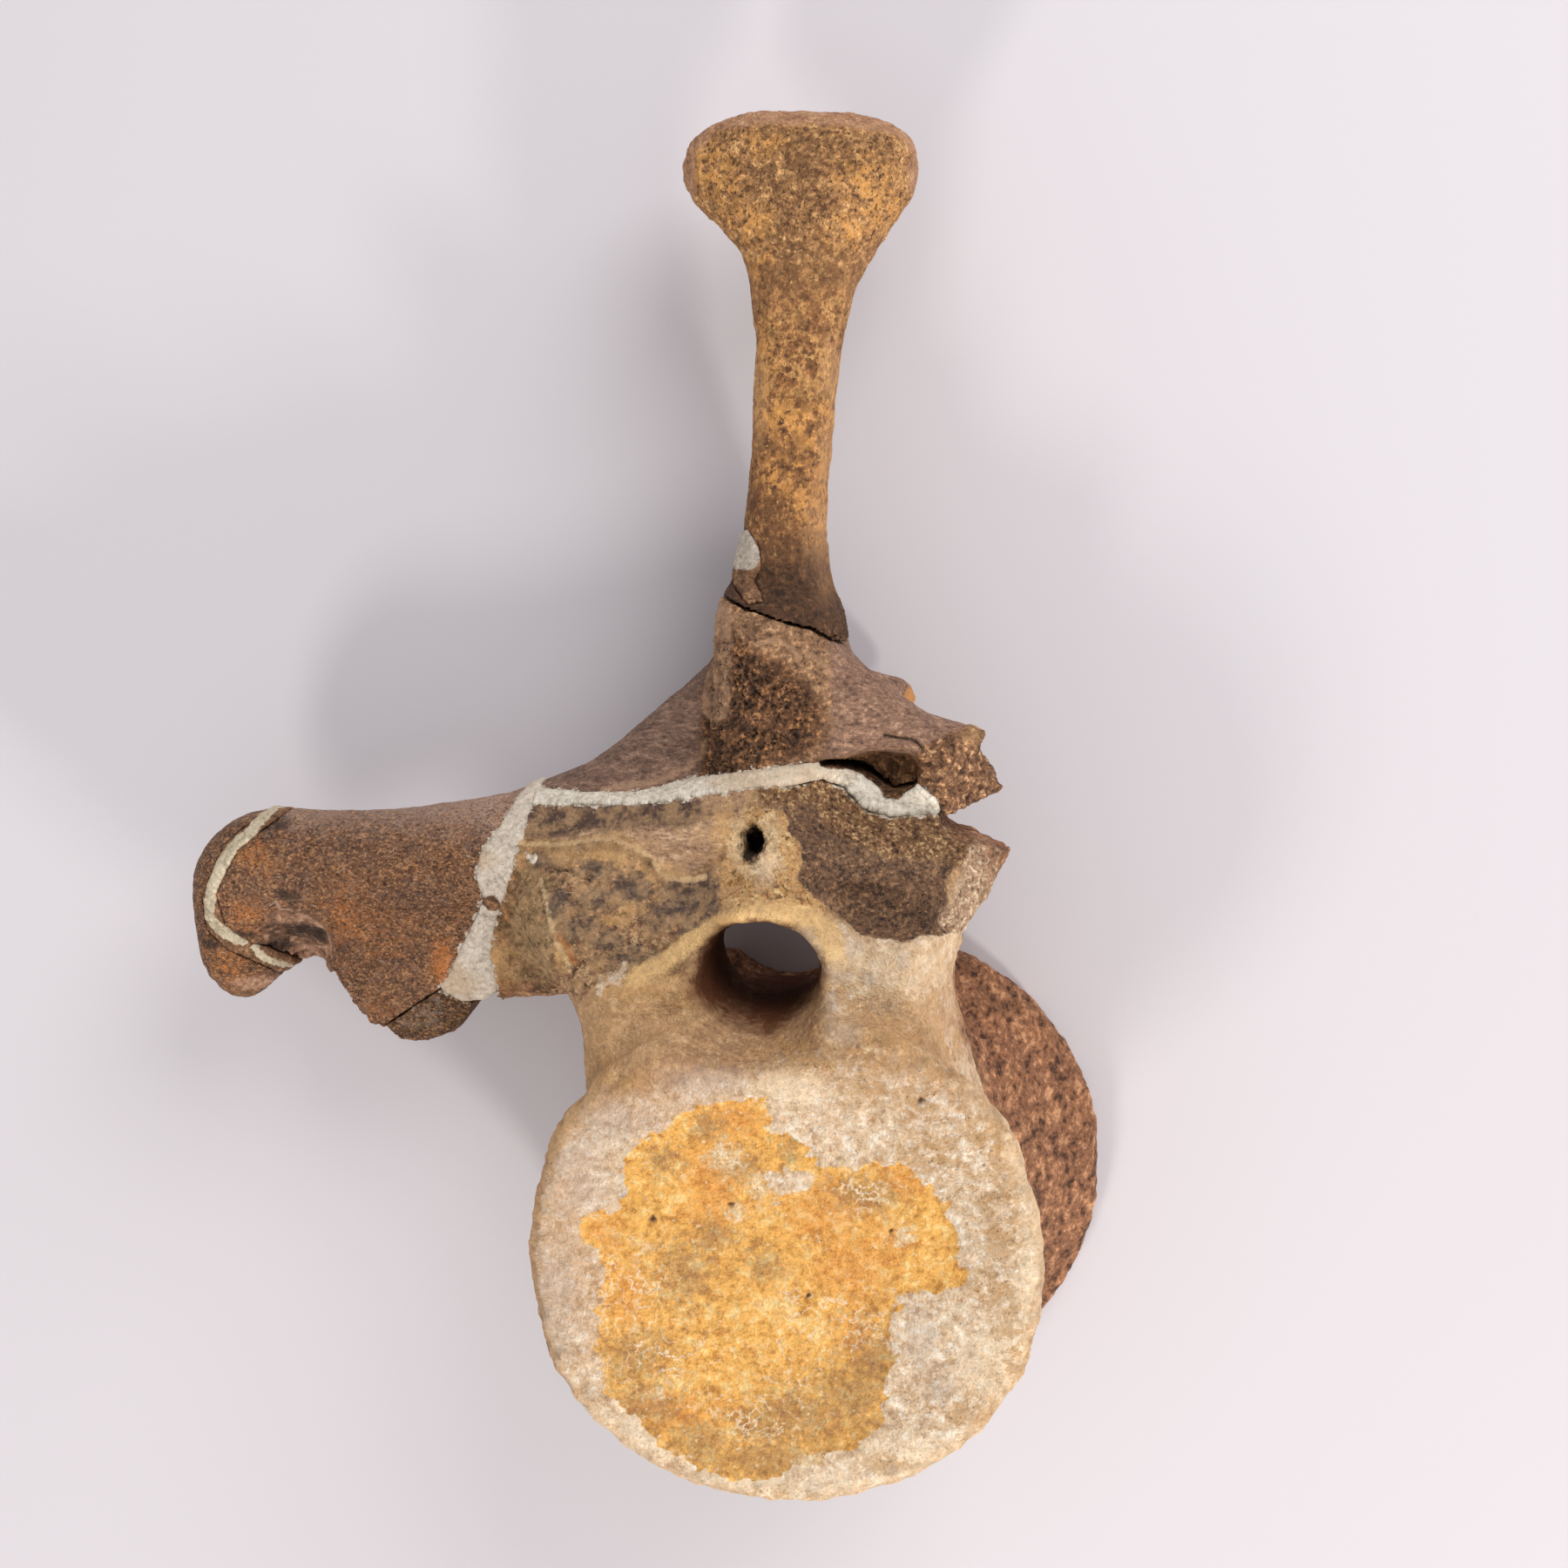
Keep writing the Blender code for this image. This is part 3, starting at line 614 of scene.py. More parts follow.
FACET = [
    (-3, 86), *FACET_EDGE, (9.9, 61.2), (12.3, 58.8), (14.5, 57.9), (19.2, 57.7), (21.6, 57.2), (25.2, 58.4),
    (28.8, 58.2), (30.3, 58.8), (30.1, 62), (29.3, 65.6), (28.7, 68.4), (30.1, 69.7), (31.4, 71.7),
    (35.5, 75), (30, 82), (10, 90), (-2, 90),
]
RIDGE = [(-4, 85.5), (5.3, 86.5), (9.1, 81.2), (19.4, 76), (26.9, 76.1), (34.3, 73.6), (39.1, 69.8)]
WING_END = [(36, 72), (35.6, 68), (33.6, 64), (32, 61)]
WALL = [
    (-66, 74), (-53.3, 73.7), (-45.5, 74), (-40.4, 74.9), (-34.9, 75.6), (-30.6, 74.3), (-26.8, 72.4),
    (-25.7, 70.1), (-23.6, 68.4), (-19.6, 68.1), (-16.7, 68.6), (-13.9, 70.2), (-12.5, 66), (-13.4, 62.4),
    (-19.5, 58.6), (-25.5, 55.2), (-29, 51.8), (-36, 49), (-41, 44), (-50, 38), (-66, 36),
]
UPPER_BAND = [
    (-66, 74.5), (-53.3, 74.2), (-40.4, 75.5), (-34, 76.2), (-27, 73), (-24.5, 69.4), (-18, 69.2), (-13, 74),
    (-10, 79), (-9, 86), (-20, 86), (-66, 84),
]
# Painted shade: the deep part of the canal, seen from above, is painted dark brown.
CANAL_PAINTED_SHADE = [
    (-18.5, 50), (-18, 47), (-15.5, 44.2), (-12.5, 42.4), (-8.3, 40.8), (-4.3, 39.8), (-1, 40.8),
    (1.2, 42.6), (4.3, 47), (6.6, 51.8), (6, 56), (1, 60.6), (-6, 62.2), (-13, 59.8), (-16.6, 55.4),
]
LIP = [
    (-29, 50.2), (-24.6, 52.2), (-20.6, 55), (-16, 58.8), (-11, 61.6), (-6, 63.2), (0, 63.6), (4.6, 61.6),
    (8, 58.6), (10, 54),
]
GREY_STAINS = [
    (-16.1, 64.7, 3.4, 5.2), (-21.4, 63, 4.8, 3.6), (-30.5, 66.2, 4.4, 2.8), (-42.8, 58.1, 3.2, 2.6),
    (-39.2, 59.1, 2.8, 2.2), (-29.4, 52.7, 6, 2.2), (-35.2, 56.1, 3.4, 2), (-26, 60.5, 3.6, 2.6),
    (-36.5, 64, 4.4, 2.2), (-18.6, 59.6, 2.8, 2.2), (-44.8, 62.5, 2.4, 3.4), (-38, 69.5, 4, 1.6),
    (-49, 70.5, 3, 1.4), (-23, 66.6, 3, 1.2),
]
AMBER_STAINS = [
    (-8, 66.9, 4.2, 4.4), (-27.9, 48.7, 7.5, 3.6), (-43.4, 54.8, 1.6, 4.6), (-59.8, 48.5, 3.2, 5.5),
    (-0.6, 71.5, 3.2, 3.6), (-50, 72.3, 12, 1.8), (-35, 72.6, 6, 3), (-26, 68.4, 4, 2.4), (-20, 45.5, 6, 4),
    (-34, 30.5, 8, 3.5), (-41, 22, 3, 7), (18.7, 52.6, 4, 2.5), (-4, 62.3, 7, 1.8), (47.5, 2, 2.4, 8),
    (30, 31, 4, 2.5), (-13, 78, 2, 4), (-30, 62.5, 4, 1.2), (-33.5, 60, 3, 1),
]
DARK_STRIPES = [(-54, 78.2), (-50, 78.6), (-44.8, 79.1), (-35.8, 79.5), (-28.8, 80.5), (-20.2, 80.8)]
LOWER_STRIPE = [(-54.5, 76.5), (-48.1, 76.5), (-42.8, 77)]
MOSSY = [
    (-54, 70), (-46, 68), (-45, 60), (-44.6, 53.5), (-45.5, 48), (-49, 44.5), (-56, 45), (-58.5, 52),
    (-58, 62),
]
SHADE_IN_OCHRE = [
    (-18.2, -4, 5, 6), (-13.1, 2.9, 3.5, 3), (-27.9, -20.3, 6, 4.5), (17.6, -20.6, 4.5, 8),
    (13.2, -26.7, 7.5, 6.5), (4.1, -31.1, 9, 5), (-3.1, -32.5, 5, 4), (-0.8, -38.8, 14, 3.6),
    (-15, -36.5, 6, 4), (-3, -2.5, 3.5, 3), (-22, 17.5, 3, 2.5), (-13.5, 24.5, 3, 2.6), (-26.5, -29, 6, 4),
    (1.5, 20.5, 1.8, 2.4), (16, 12, 6, 3), (-8.5, 17, 4, 3),
]
DEEP_ORANGE = [
    (13.9, -14.5, 2.6, 4.2), (20.9, 3.3, 3, 3), (22.9, 15.1, 4, 3), (8, 8, 8, 5), (-13, 13, 5, 9),
    (-9, 26, 6, 3), (-33, 3.5, 3.5, 3), (14, -2, 7, 7), (-29, -8, 3, 6), (-20, -30, 8, 3),
]
PORES_IN_FACE = [(-9.6, 9, 0.8), (-24.2, 6.2, 1), (5, -7.8, 0.7), (20.4, 5.1, 0.6), (26, 31, 1)]
BROWN_ON_RIM = [
    (25.7, 31.5, 5, 3.4), (41, 10.1, 4, 10), (39.6, -4.2, 4, 4), (43, -15.8, 4, 9), (35, -27.1, 6, 4),
    (28.3, 20.6, 8, 4), (20, -38.5, 5, 2.2), (31, 36.5, 7, 4), (37, 22, 6, 7), (16, 33, 5, 3),
    (-31, 33.5, 6, 3), (0, -45.5, 8, 1.6), (4, 38, 8, 3), (20, 40, 8, 4), (-38, 26, 4, 4),
]
GREY_ON_RIM = [
    (-31.8, 25.3, 7, 5), (-42, -8, 3, 9), (-37, 16, 5, 8), (26.5, -15, 3, 6), (-14, 33.5, 7, 2.5),
    (9.8, 52.8, 2.6, 2.2), (15.4, 51.1, 1.4, 1.2), (11.9, 56.4, 1.2, 1.4), (21.9, 54.5, 1.4, 1.4),
    (8.8, 47, 1.4, 2.4), (12, 42.5, 3, 1.6), (30, -24, 3, 2.4), (5.8, -43.6, 1.6, 1.4),
    (16.6, -40.4, 1.2, 1), (21, -39.6, 1.2, 1), (-29, 12, 2, 6),
]
CREAM = [
    (20, 53, 11, 5), (45, 21, 3, 9), (33, 66.4, 2.2, 2), (35, 70, 1.6, 2), (0, -44, 22, 3.2),
    (40, -22, 6, 12), (-28, -35, 9, 5), (24, -38, 10, 5), (46, 2, 2.4, 16), (32, 60.5, 4, 2.6),
    (2, 33, 6, 4), (-4.5, 71.5, 2.4, 3.4), (4, 58, 4, 2.6),
]
# Painted shade: the left and upper parts of the pale rim are painted darker and warmer, where less light
# falls.
RIM_PAINTED_SHADE = [(-42, 2, 9, 28), (-12, 38, 24, 8), (30, 40, 14, 10), (-20, 30, 14, 8)]
LEDGE = [(x, y - 0.3) for x, y in WALL[1:11]]
# Painted shade inside the small round hole.
PIT_SHADE_SPOTS = [(-7.2, 75.3, 2.2, 3.2), (-8.2, 73, 1.2, 1.4)]
PIT_RIM = [(-9.8, 76.4, 1.8, 3.4), (-10.6, 72.6, 1.4, 2.4), (-7.4, 70.4, 2.2, 1.6), (-4.2, 77.6, 1.8, 3)]
WALL_CRACK = [(-47.7, 70.2), (-45.4, 69.4), (-42.7, 69.2), (-41.2, 68.3), (-38.8, 67.8)]
MOSSY_EDGE = [
    (-48.4, 67.3), (-47.4, 65.1), (-46.4, 62), (-45.7, 58.7), (-44.6, 55.5), (-43, 53.2), (-41.7, 51.7),
]
ORANGE_STREAK = [(-44.8, 57.3), (-43.4, 55.6), (-42, 53.7), (-41, 52.2)]
CRUMBS = [(-54, 72.3), (-56.8, 68.1), (-58, 62.6), (-60.4, 57), (-59.6, 50), (-59.3, 44)]
CREAM_BITS = [(-33, 49.9, 1.7, 0.9), (-35.4, 48.6, 0.8, 1.5), (-31.6, 51.4, 0.8, 1), (-50.4, 70.9, 1, 0.6)]
LACE = [
    (-28, -8, 8, 9), (-22, -19, 8, 6), (10, -11, 9, 6), (16, 12, 6, 4), (-6, -30, 10, 5), (0.2, -20.9, 6, 5),
]
ISLANDS = [
    (-8.6, 7.4, 1.9, 1.5), (-10.7, 18.7, 3, 2.6), (23, 4.6, 1.9, 1.7), (5.1, -38.8, 2.4, 1.4),
    (-23, -27, 1.4, 1), (-4, 12.6, 2, 2.4), (1.4, 14.4, 3.4, 1.6),
]
NECK = [(-20, 42, 16, 5), (-2, 38, 14, 4), (18, 42, 12, 5), (-34, 36, 8, 6), (20, 49.5, 11, 7)]
SEAM = [(-13.2, 73.6), (-14.6, 71), (-17.2, 68.9)]
CURL = [(-51.8, 71.8), (-51.5, 70.5), (-50.3, 70.2), (-49.8, 70.9)]

centrum = close_copy("centrum", "centrum_bone", grid=0.78, rounds=14)
at = places_of(centrum)
turned = normals_of(centrum)
x, y, z = at.T
near_front = rise(z, 60, 68)
face_reach = reach(at, *FRONT_FACE)
rear_reach = reach(at, *REAR_FACE)
low_body = y < 45
front_rim = rise(z, 62, 67) * rise(face_reach, 0.84, 0.96) * low_body
rear_rim = rise(-z, -17, -9) * rise(rear_reach, 0.8, 0.92)
dents = sum(
    1.2 * np.exp(-((x - px) ** 2 + (y - py) ** 2) / (0.7 * r * r)) * near_front for px, py, r in PORES_IN_FACE
)
smear = np.where(z > 20, beside_filler(at, "arch_filler", "process_filler"), -3)
seam = bell(off_line(at, SEAM), 0.8) * rise(z, 48, 52)
facet = inside(at, FACET)
facet_lip = bell(facet + 0.5, 1.1) * rise(-y, -66, -60) * rise(z, 40, 46)
facet_dish = rise(facet, -0.2, 1.6) * rise(z, 38, 46)
wall = inside(at, WALL)
ledge = rise(wall, -0.3, 0.7) * (1 - rise(wall, 1.5, 7)) * rise(z, 42, 46) * rise(y, 62, 66)
lip = bell(off_line(at, LIP), 1.8) * rise(z, 54, 58)
torn = 0.6 * rise(0.6 - off_line(at, WALL_CRACK), 0, 0.5)
scabs = (0.5 * rise(1.2 - off_line(at, MOSSY_EDGE), 0, 0.6) - torn) * rise(z, 40, 44)
lap = 0.45 * rise(smear, -1.6, 0.1)
round_pit = rise(spots(at, [(-7.2, 75.3, 5, 6.4)]), 0, 0.35) * rise(z, 30, 40)
broken_side = rise(x, 29, 32) * rise(y, 54, 57) * rise(z, 22, 28) * rise(turned[:, 0], 0.2, 0.7)
flaked_depth = np.minimum(inside(at, FLAKED), -inside(at, LEFT_WHOLE))
mark(
    centrum,
    flaked=np.where(z > 66, flaked_depth, -20),
    rim=np.clip(front_rim + rear_rim, 0, 1),
    broken=np.clip(broken_side + 0.6 * rise(wall, 0, 2) * (z > ARCH_FACE) + round_pit, 0, 1),
    spongy=rise(1 - off_line(at, RIDGE) / 4, 0, 0.6) * 0.5 * rise(z, 36, 44) * (x > 0),
    shape=0.6 * facet_lip - 0.7 * facet_dish - dents - 1.2 * seam + 0.75 * ledge + 0.4 * lip + scabs + lap,
    pale=np.where(z > 36, inside(at, PALE), FAR_OUT) - 0.25 * np.clip(62 - z, 0, 40) * (y < 38),
    dusk=(37 - z) / 12,
    wall=np.where(z > 26, wall, FAR_OUT),
    band=np.where(z > ARCH_EDGE, inside(at, UPPER_BAND), FAR_OUT),
    mossy=np.where(z > 26, inside(at, MOSSY), FAR_OUT),
    facet=np.where(z > ARCH_EDGE, facet, FAR_OUT),
    # canal: where the canal's depths get painted shade.
    canal=np.where(z > 12, inside(at, CANAL_PAINTED_SHADE), FAR_OUT),
    bridge=np.where(z > ARCH_EDGE, inside(at, BRIDGE), FAR_OUT),
    lip=beside(at, LIP, 1.6, 50, -4),
    ridge=beside(at, RIDGE, 3.4, 34, -4),
    wing=beside(at, WING_END, 3.2, 30, -4),
    crumbs=beside(at, CRUMBS, 3.2, 24, -4),
    curl=beside(at, CURL, 0.35, ARCH_FACE),
    ledge=beside(at, LEDGE, 0.5, ARCH_FACE),
    # Painted shadow in a band just below the ledge.
    under_ledge=np.where(wall > 0, beside(at, LEDGE, 2.2, ARCH_FACE), -3),
    crack=beside(at, WALL_CRACK, 0.3, ARCH_FACE),
    mossy_edge=beside(at, MOSSY_EDGE, 0.45, ARCH_FACE),
    streak=beside(at, ORANGE_STREAK, 0.6, ARCH_FACE),
    stripe=np.maximum(2.8 - off_line(at, DARK_STRIPES), 1.6 - off_line(at, LOWER_STRIPE)),
    rim_edge=np.where(z > 56, (face_reach - 0.955) * 45, -2) * low_body,
    grey=spots(at, GREY_STAINS, ARCH_FACE),
    cream=spots(at, CREAM, 36),
    pit=spots(at, PIT_SHADE_SPOTS, ARCH_EDGE),
    pit_rim=spots(at, PIT_RIM, ARCH_EDGE),
    neck=spots(at, NECK, ARCH_EDGE),
    bits=spots(at, CREAM_BITS, ARCH_FACE),
    amber=spots(at, AMBER_STAINS),
    shade=spots(at, SHADE_IN_OCHRE),
    orange=spots(at, DEEP_ORANGE),
    rim_brown=spots(at, BROWN_ON_RIM),
    rim_grey=spots(at, GREY_ON_RIM),
    rosy=spots(at, RIM_PAINTED_SHADE),
    lace=spots(at, LACE),
    islands=spots(at, ISLANDS),
    smear=smear,
    dent=np.clip(dents, 0, 1),
)


# Filler smeared thinly over the bone beside a joint: the stain's name, its tone, size, wander and softness.
SMEAR_COAT = ("smear", (222, 210, 192), 1.4, 1.2, 0.12)


def centrum_finish():
    bone = BoneFinish("centrum_bone", 0.82)
    w, mottled, painted = bone.w, bone.mottled, bone.painted
    blotches = mottled(9, (128, 112, 106), (208, 194, 182), (255, 240, 214))
    ground = mottled(4, (104, 76, 52), (164, 126, 88), (216, 176, 128), 1.1)
    wall = mottled(3, (74, 54, 43), (164, 124, 93), (238, 194, 146), 1.2)
    wall = painted(
        w.blend(0.8, wall, blotches, "MULTIPLY"),
        ("veins", (58, 44, 36), 3.4, 0.1, 0.75, 4),
        ("flecks", (226, 186, 138), 1.5, 0.3, 0.7, 7),
        ("veins", (232, 194, 146), 4.4, 0.09, 0.7, 1),
        ("flecks", (54, 41, 34), 1.1, 0.3, 0.8, 12),
    )
    band = mottled(4, (112, 82, 66), (176, 138, 108), (230, 192, 154), place=bone.fibres(0.5, 1.5, 1))
    mossy = mottled(2, (74, 56, 34), (138, 110, 72), (196, 164, 116), 1.3)
    pale = mottled(3.8, (192, 154, 116), (234, 204, 168), (255, 240, 216), 2)
    pale = bone.flecked(pale, (255, 246, 232), 1.3, 0.3, 0.6, 9)
    bridge = mottled(3, (150, 102, 58), (210, 162, 102), (248, 216, 162), 1.2)
    bridge = bone.flecked(bridge, (100, 68, 42), 1, 0.2, 0.85, 3)
    crumbs = mottled(2, (58, 38, 22), (118, 80, 46), (190, 136, 84), 1.4)
    neck = painted(
        mottled(2.4, (116, 78, 46), (202, 154, 100), (252, 222, 172), 1.2),
        ("flecks", (96, 64, 40), 1, 0.2, 0.75, 6),
        ("veins", (140, 98, 62), 3, 0.12, 0.7, 5, bone.fibres(0.6, 1.4, 1)),
    )
    whole = painted(
        ground,
        ("wall", wall, 3, 1, 0.6),
        ("mossy", mossy, 3, 1, 1, 0.85),
        ("band", band, 3, 0.5, 0.5),
        ("crumbs", crumbs, 2, 1.4, 0.6, 0.85),
        ("amber", (226, 176, 112), 1.8, 0.9, 0.5, 0.65),
        ("grey", (76, 66, 62), 1.6, 0.8, 0.3, 0.75),
        ("stripe", (74, 54, 48), 3, 0.9, 0.6, 0.9),
        # Painted shadow below the ledge.
        ("under_ledge", (84, 62, 46), 1.6, 0.7, 0.8, 0.45),
        ("ledge", (228, 192, 144), 1.4, 0.5, 0.3, 0.75),
        ("pale", pale, 3.4, 2, 0.8),
        ("neck", neck, 3, 0.9, 0.9, 0.9),
        ("bridge", bridge, 2.4, 1.2, 0.5),
        ("mossy_edge", (230, 196, 148), 1.4, 0.5, 0.3, 0.8),
        ("streak", (186, 118, 62), 1.6, 0.6, 0.5, 0.8),
        ("crack", (44, 32, 26), 1.2, 0.5, 0.2, 0.85),
        ("bits", (244, 226, 200), 1, 1, 0.4, 0.7),
        # Painted shade on the left and upper rim.
        ("rosy", (204, 160, 122), 2.2, 0.9, 0.8, 0.5),
        ("cream", (252, 226, 190), 1.8, 0.8, 0.6, 0.7),
        ("lip", (252, 208, 142), 1.6, 0.8, 0.6, 0.85),
        ("pit_rim", (238, 210, 168), 1.2, 1.5, 0.4, 0.55),
        ("flecks", (122, 92, 66), 0.9, 0.65, 0.55, 1),
        ("flecks", (190, 146, 100), 2.6, 0.3, 0.36, 2),
        ("rim_edge", (214, 172, 124), 3, 2.4, 0.8, 0.45),
    )
    brown = bone.flecked(whole, (196, 150, 96), 2.6, -0.3, 0.65, 4)
    brown = bone.flecked(brown, (112, 82, 56), 1.1, 0.45, 0.65, 7)
    whole = bone.stained(whole, brown, "rim_brown", 1.8, 0.9, 0.6)
    whole = bone.stained(whole, (196, 180, 166), "rim_grey", 1.8, 0.7, 0.6, 0.35)

    dull = bone.flecked(tone(162, 124, 86), (98, 77, 60), 1.4, 0.1, 0.8, 5)
    island = mottled(1.6, (206, 160, 106), (240, 208, 160), (255, 240, 212), 1)
    ochre = painted(
        mottled(4.6, (200, 138, 66), (248, 186, 96), (255, 218, 146), 1.8),
        ("orange", (222, 138, 62), 2, 0.9, 0.7, 0.4),
        ("shade", dull, 1.6, 1.2, 0.9, 0.58),
    )
    laced = bone.veined(ochre, (252, 228, 192), 3, 0.16, 0.9, 3)
    ochre = painted(
        ochre,
        ("lace", laced, 2.4, 1, 0.7),
        ("islands", island, 1.6, 1.4, 0.5, 0.85),
        ("flecks", (250, 226, 188), 1.4, 0.6, 0.65, 2),
        ("flecks", (248, 218, 170), 2.4, 0.55, 0.55, 8),
        ("flecks", (168, 112, 58), 1.2, 0.6, 0.5, 6),
    )
    lost = w.step(bone.value("flake_edge"), -0.12, 0.25)

    dusk = mottled(3, (84, 56, 41), (174, 123, 89), (240, 184, 138), 1.6, bone.fibres(1, 0.75, 0.6))
    facet = painted(
        mottled(3, (64, 46, 36), (120, 89, 66), (174, 134, 98), 1),
        ("flecks", (190, 144, 98), 0.8, 0.4, 0.7, 3),
        ("flecks", (50, 35, 27), 0.9, 0.35, 0.75, 8),
    )
    colour = painted(
        w.blend(lost, whole, ochre),
        ("facet", facet, 2.2, 0.8, 0.3),
        ("ridge", mottled(1.6, (60, 40, 28), (138, 100, 66), (226, 186, 134), 0.8), 2, 0.9, 0.8),
        ("wing", mottled(1.4, (92, 68, 50), (186, 150, 118), (250, 226, 192), 0.8), 1.6, 1.4, 0.6, 0.9),
        ("dusk", w.blend(0.6, dusk, blotches, "MULTIPLY"), 9, 1.3, 0.7),
        # Painted shade in the canal's depths.
        ("canal", (104, 57, 28), 2, 0.9, 1.4),
        # Painted shade inside the small round hole.
        ("pit", (50, 34, 20), 1.4, 0.9, 0.4),
        ("curl", (240, 230, 214), 1, 0.1, 0.15),
        SMEAR_COAT,
    )
    colour = w.blend(w.step(bone.value("dent"), 0.2, 0.9), colour, tone(104, 76, 58))
    return bone.done(colour, 0.9, 0.26)


dress(
    centrum, "centrum", "pale_bone", centrum_finish(), Lump_Height=0.35, Rim_Size=3.4, Rim_Height=0.35,
    Pore_Size=1.2, Pore_Depth=0.5, Grain_Size=2.0, Grain_Height=0.26, Break_Size=2.2, Break_Height=0.6,
)


# The upper arch, one fragment: the left lamina with its long fibres, the spongy block whose outer layer is
# gone, the smooth right lamina and its broken stump. It is set on the lower arch with filler.
SPONGY = [
    (-21, 84), (-12, 85), (-5, 87.5), (2, 89.5), (7, 94), (6.5, 101), (3.5, 106.5), (-1, 110), (-7, 113),
    (-12, 116.5), (-21, 117),
]
BLOCK = [(-19, 84), (-19, 122), (2, 122), (6, 112), (7, 96), (3, 88), (-8, 84)]
STUMP = [(23.6, 70), (23.4, 86), (22.6, 91.5), (26, 94.2), (33, 96.6), (45, 98), (45, 70)]
CAVITY = [
    (4.3, 90.4), (10.1, 90.9), (15.6, 91.6), (19.1, 91.2), (21.2, 91.2), (23.5, 89.8), (23.1, 85.4),
    (20.7, 83.6), (19.3, 82.5), (17.1, 82.7), (15.9, 84.5), (14.3, 85.5), (11.6, 87.4), (10, 88.3),
    (4.6, 89.3),
]
# Painted highlight: a light line along the ridge edge, and a lighter strip where the block's left edge
# catches the light.
HIGHLIGHT_LINE = [(-18.6, 93), (-19.3, 90), (-21.9, 87.6), (-26.8, 85.9), (-31.7, 84.8), (-38, 83.9)]
LIT_BLOCK_EDGE = [(-15.8, 117), (-15.6, 108), (-16.4, 100)]
FLAKE_CRACK = [(17, 95.3), (19.4, 94.8), (21.9, 94.6), (23.4, 93.8), (24.5, 92.3)]
HAIR_CRACK = [(4, 93.3), (7, 92.7), (10.2, 92.3)]
BLOCK_STEPS = [
    [(-7.5, 112.6), (-3.9, 113.6), (-1.4, 112.2), (0.6, 110.2)], [(1.4, 111.4), (4.3, 109.5), (6.4, 106.8)],
]
KNOB = [(33.2, 94.8, 2, 1.3)]

upper_arch = close_copy("upper_arch", "upper_arch_bone", grid=0.38, rounds=22)
at = places_of(upper_arch)
x, y, z = at.T
front = rise(z, 36, 40)
block = inside(at, BLOCK)
stump = inside(at, STUMP)
cavity = inside(at, CAVITY)
sunk = 1.1 * rise(cavity, -0.6, 1.6) * front
crack = bell(off_line(at, FLAKE_CRACK), 0.32) * front
hair = bell(off_line(at, HAIR_CRACK), 0.25) * front
step_edge = np.min([off_line(at, line) for line in BLOCK_STEPS], axis=0)
over_crack = rise(inside(at, FLAKE_CRACK + [(24, 99), (12, 99)]), 0, 1) * front
shoulder = rise(-x, 14, 18) * rise(x, -19.5, -18.6)
mark(
    upper_arch,
    broken=np.clip(rise(stump, -0.5, 1) + 0.6 * shoulder + 0.5 * rise(block, -1, 1), 0, 1),
    spongy=rise(inside(at, SPONGY), -1, 6.5) * rise(z, 30, 36),
    shape=0.4 * over_crack - 0.9 * crack - sunk + 0.3 * rise(-step_edge, -1.2, 0),
    block=np.where(z > 24, block, FAR_OUT),
    smooth=rise(x, 2, 9) * rise(y, 88, 93),
    stump=np.where(z > 8, stump, FAR_OUT),
    lamina=rise(-x, 18, 20),
    # Painted highlight along the lit edges.
    light_line=np.maximum(beside(at, HIGHLIGHT_LINE, 0.6, ARCH_EDGE), beside(at, LIT_BLOCK_EDGE, 3.2, ARCH_EDGE)),
    crack=np.maximum(0.7 * crack, 0.5 * hair),
    steps=np.where(z > ARCH_EDGE, 0.5 - step_edge, -3),
    knob=spots(at, KNOB, ARCH_EDGE),
    hollow=np.where(z > ARCH_EDGE, cavity, -4),
    smear=np.where((z > 24) & (cavity < -1.5), beside_filler(at, "arch_filler", "process_filler"), -3),
    tip=1 - np.hypot(x - 20, y - 99.5) / 2.2 - np.abs(z - 9) / 12,
)


